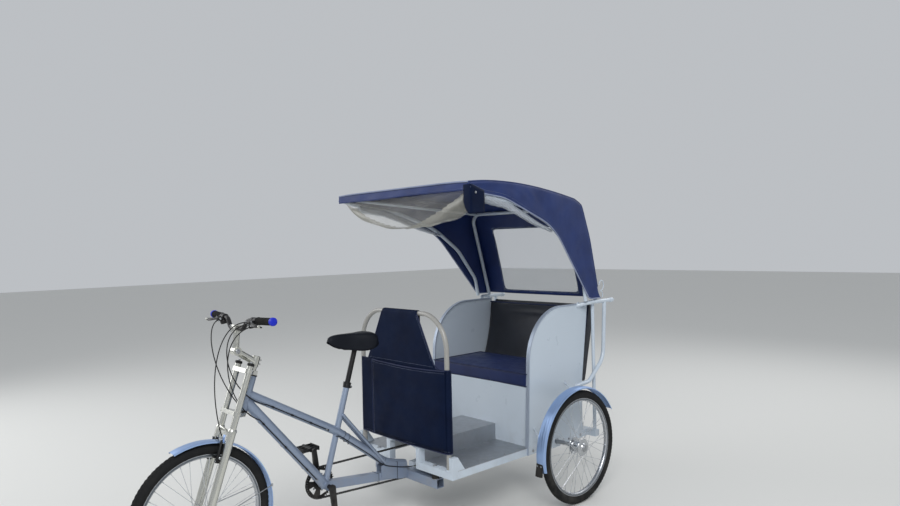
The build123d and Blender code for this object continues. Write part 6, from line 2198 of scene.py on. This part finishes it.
class BuildMudguards(bpy.types.Operator):
    """Polished ribbed mudguards on wire stays, with riveted tongues and rubber flaps."""

    bl_idname = "rickshaw.mudguards"
    bl_label = "Mudguards"

    def execute(self, context):
        front_guard()
        rear_guards(context.scene.rickshaw_sizes)
        rubber_flaps()
        return {"FINISHED"}


# Cab fittings


def cab_bolts():
    """Mount washers and the bolts of the floor."""
    bm = bmesh.new()
    for side in (1, -1):
        mount = at(side * 0.25, 0.838, 0)
        for up in (0.2712, 0.2985):
            turned(bm, [(-0.0012, 0.0205), (0.0012, 0.0205)], mount + Vector((0, 0, up)), (0, 0, 1), 28)
        bolt(bm, at(side * 0.25, 0.838, 0.3402), (0, 0, 1), 0.0075)
        for forward in (0.8, 0.785):
            bolt(bm, at(side * 0.395, forward, 0.3432), (0, 0, 1), 0.0042)
        for forward in (0.74, 0.64, 0.54, 0.44, 0.34):
            bolt(bm, at(side * 0.395, forward, 0.3432), (0, 0, 1), 0.0032)
            bolt(bm, at(side * 0.17, forward, 0.3432), (0, 0, 1), 0.0032)
        for forward in (0.22, 0.1, -0.12, -0.24):
            bolt(bm, at(side * 0.4212, forward, 0.32), (side, 0, 0), 0.0048)
    piece("cab_bolts", bm, "bolt_zinc", 30)


def cab_welds():
    """Hoop feet, flanges and weld beads."""
    bm = bmesh.new()
    for side in (1, -1):
        foot = at(side * 0.375, 0.8485, 0.34)
        turned(bm, [(0, 0.019), (0.004, 0.019), (0.005, 0.018)], foot, (0, 0, 1), 32)
        weld(bm, circle_points(foot + Vector((0, 0, 0.006)), (0, 0, 1), 0.0138, 40), 0.0022)
        loop_root = at(side * 0.4215, -0.212, 0.636)
        turned(bm, [(0, 0.02), (0.003, 0.02), (0.004, 0.019)], loop_root, (side, 0, 0), 30)
        bar_root = at(side * 0.4215, -0.24, 1.14)
        turned(bm, [(0, 0.019), (0.003, 0.019), (0.004, 0.018)], bar_root, (side, 0, 0), 30)
        post = at(side * 0.4565, -0.345, 0.34)
        weld(bm, circle_points(post + Vector((0, 0, 0.001)), (0, 0, 1), 0.0115, 36), 0.0022)
        for x, forward, low, high, bead, valley in (
            (0.147, 0.8622, 0.34, 0.3, 0.0022, 0.0016), (0.415, 0.821, 0.3, 0.34, 0.002, 0.0014)
        ):
            line = [at(side * x, forward, lerp(low, high, k / 8)) for k in range(9)]
            tube(bm, line, [bead if k % 2 else valley for k in range(9)], 8)
    piece("cab_welds", bm, "cab_enamel_white", 50)


def trim_rivets():
    """Rivets along the front trim."""
    bm = bmesh.new()
    for side in (1, -1):
        for k in range(8):
            up = 0.38 + 0.062 * k
            place = at(side * 0.4242, 0.262 - 0.04 * (up - 0.3) / 0.842 + 0.0035, up)
            head = [(-0.0006, 0.0026), (0.0006, 0.0024), (0.0012, 0.0012)]
            turned(bm, head, place, (side, 0, 0), 10)
    piece("trim_rivets", bm, "trim_drawn_aluminium", 40)


def bar_end_caps():
    """Caps on the rear bars."""
    bm = bmesh.new()
    for side in (1, -1):
        end = at(side * 0.48, -0.53, 1.157)
        turned(
            bm, [(-0.03, 0.0142), (-0.029, 0.0149), (-0.003, 0.0149), (0.0, 0.0138), (0.0012, 0.01)], end,
            (0, 1, 0), 28,
        )
    piece("bar_end_caps", bm, "cab_enamel_white", 40)


class BuildCabFittings(bpy.types.Operator):
    """Bolts, welds, rivets, hoop feet, mount washers and bar caps on the cab."""

    bl_idname = "rickshaw.cab_fittings"
    bl_label = "Cab Fittings"

    def execute(self, context):
        cab_bolts()
        cab_welds()
        trim_rivets()
        bar_end_caps()
        return {"FINISHED"}


# Stage


def stage(scene):
    """Camera, floor, world and lights."""
    yaw, pitch, roll = (radians(a) for a in (47.12, -0.65, -1.29))
    forward = Vector((-sin(yaw) * cos(pitch), cos(yaw) * cos(pitch), sin(pitch)))
    right = forward.cross(Vector((0, 0, 1))).normalized()
    up = right.cross(forward)
    turned_right = right * cos(roll) + up * sin(roll)
    turned_up = -right * sin(roll) + up * cos(roll)
    data = bpy.data.cameras.new("camera")
    data.sensor_width = 36
    data.lens = 36 * 686.5 / 900
    camera = bpy.data.objects.new("camera", data)
    camera.matrix_world = Matrix((
        (turned_right.x, turned_up.x, -forward.x, 3.049),
        (turned_right.y, turned_up.y, -forward.y, AXLE_Y - 3.291),
        (turned_right.z, turned_up.z, -forward.z, 1.536),
        (0, 0, 0, 1),
    ))
    scene.collection.objects.link(camera)
    scene.camera = camera

    bm = bmesh.new()
    bmesh.ops.create_grid(bm, x_segments=1, y_segments=1, size=30)
    start_material("backdrop_paper_pale", linear("#D9D9D6"), 0.9)
    floor = piece("floor", bm, "backdrop_paper_pale", 38, None)

    world = bpy.data.worlds.new("studio")
    world.use_nodes = True
    background = world.node_tree.nodes["Background"]
    background.inputs["Color"].default_value = linear("#E9EDF2")
    background.inputs["Strength"].default_value = 0.62
    scene.world = world
    for name, place, size, power in (
        ("key", (4.2, -3.4, 4.6), 3.0, 245), ("fill", (-4.5, -3.0, 3.2), 4.0, 105),
        ("back", (0.5, 5.5, 4.5), 4.0, 85),
    ):
        light_data = bpy.data.lights.new(name, "AREA")
        light_data.size = size
        light_data.energy = power
        light = bpy.data.objects.new(name, light_data)
        light.location = place
        light.rotation_euler = (Vector((0, 0.2, 0.8)) - Vector(place)).to_track_quat("-Z", "Y").to_euler()
        scene.collection.objects.link(light)
    scene.view_settings.view_transform = "Standard"


class BuildStage(bpy.types.Operator):
    """Camera at the photograph's viewpoint, pale floor, soft lights and a plain world."""

    bl_idname = "rickshaw.stage"
    bl_label = "Stage"

    def execute(self, context):
        stage(context.scene)
        return {"FINISHED"}


STEPS = (
    MakeMaterials,
    BuildWheels,
    BuildCanopy,
    BuildRearWindow,
    BuildCurtains,
    BuildCushions,
    BuildBackCover,
    BuildScreen,
    BuildFrameDetails,
    BuildSaddle,
    BuildForkDetails,
    BuildControls,
    BuildRimBrake,
    BuildCables,
    BuildChain,
    BuildPedals,
    BuildMudguards,
    BuildCabFittings,
    BuildStage,
)


class RickshawPanel(bpy.types.Panel):
    """Sizes, colours and steps of the rickshaw in the 3D view's sidebar."""

    bl_idname = "VIEW3D_PT_rickshaw"
    bl_label = "Cycle Rickshaw"
    bl_space_type = "VIEW_3D"
    bl_region_type = "UI"
    bl_category = "Rickshaw"

    def draw(self, context):
        for group in (context.scene.rickshaw_sizes, context.scene.rickshaw_colours):
            column = self.layout.column()
            for name in group.__annotations__:
                column.prop(group, name)
        for step in STEPS:
            self.layout.operator(step.bl_idname)


CLASSES = (RickshawSizes, RickshawColours, *STEPS, RickshawPanel)


def register():
    """Adds the classes and the settings of the scene."""
    for kind in CLASSES:
        bpy.utils.register_class(kind)
    bpy.types.Scene.rickshaw_sizes = bpy.props.PointerProperty(type=RickshawSizes)
    bpy.types.Scene.rickshaw_colours = bpy.props.PointerProperty(type=RickshawColours)


def unregister():
    """Takes them out again."""
    del bpy.types.Scene.rickshaw_colours
    del bpy.types.Scene.rickshaw_sizes
    for kind in reversed(CLASSES):
        bpy.utils.unregister_class(kind)


def main():
    """Runs every step in order."""
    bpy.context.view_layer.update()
    register()
    bpy.ops.rickshaw.materials()
    bpy.ops.rickshaw.wheels()
    bpy.ops.rickshaw.canopy()
    bpy.ops.rickshaw.rear_window()
    bpy.ops.rickshaw.curtains()
    bpy.ops.rickshaw.cushions()
    bpy.ops.rickshaw.back_cover()
    bpy.ops.rickshaw.screen()
    bpy.ops.rickshaw.frame_details()
    bpy.ops.rickshaw.saddle()
    bpy.ops.rickshaw.fork_details()
    bpy.ops.rickshaw.controls()
    bpy.ops.rickshaw.rim_brake()
    bpy.ops.rickshaw.cables()
    bpy.ops.rickshaw.chain()
    bpy.ops.rickshaw.pedals()
    bpy.ops.rickshaw.mudguards()
    bpy.ops.rickshaw.cab_fittings()
    bpy.ops.rickshaw.stage()


if __name__ == "__main__":
    main()
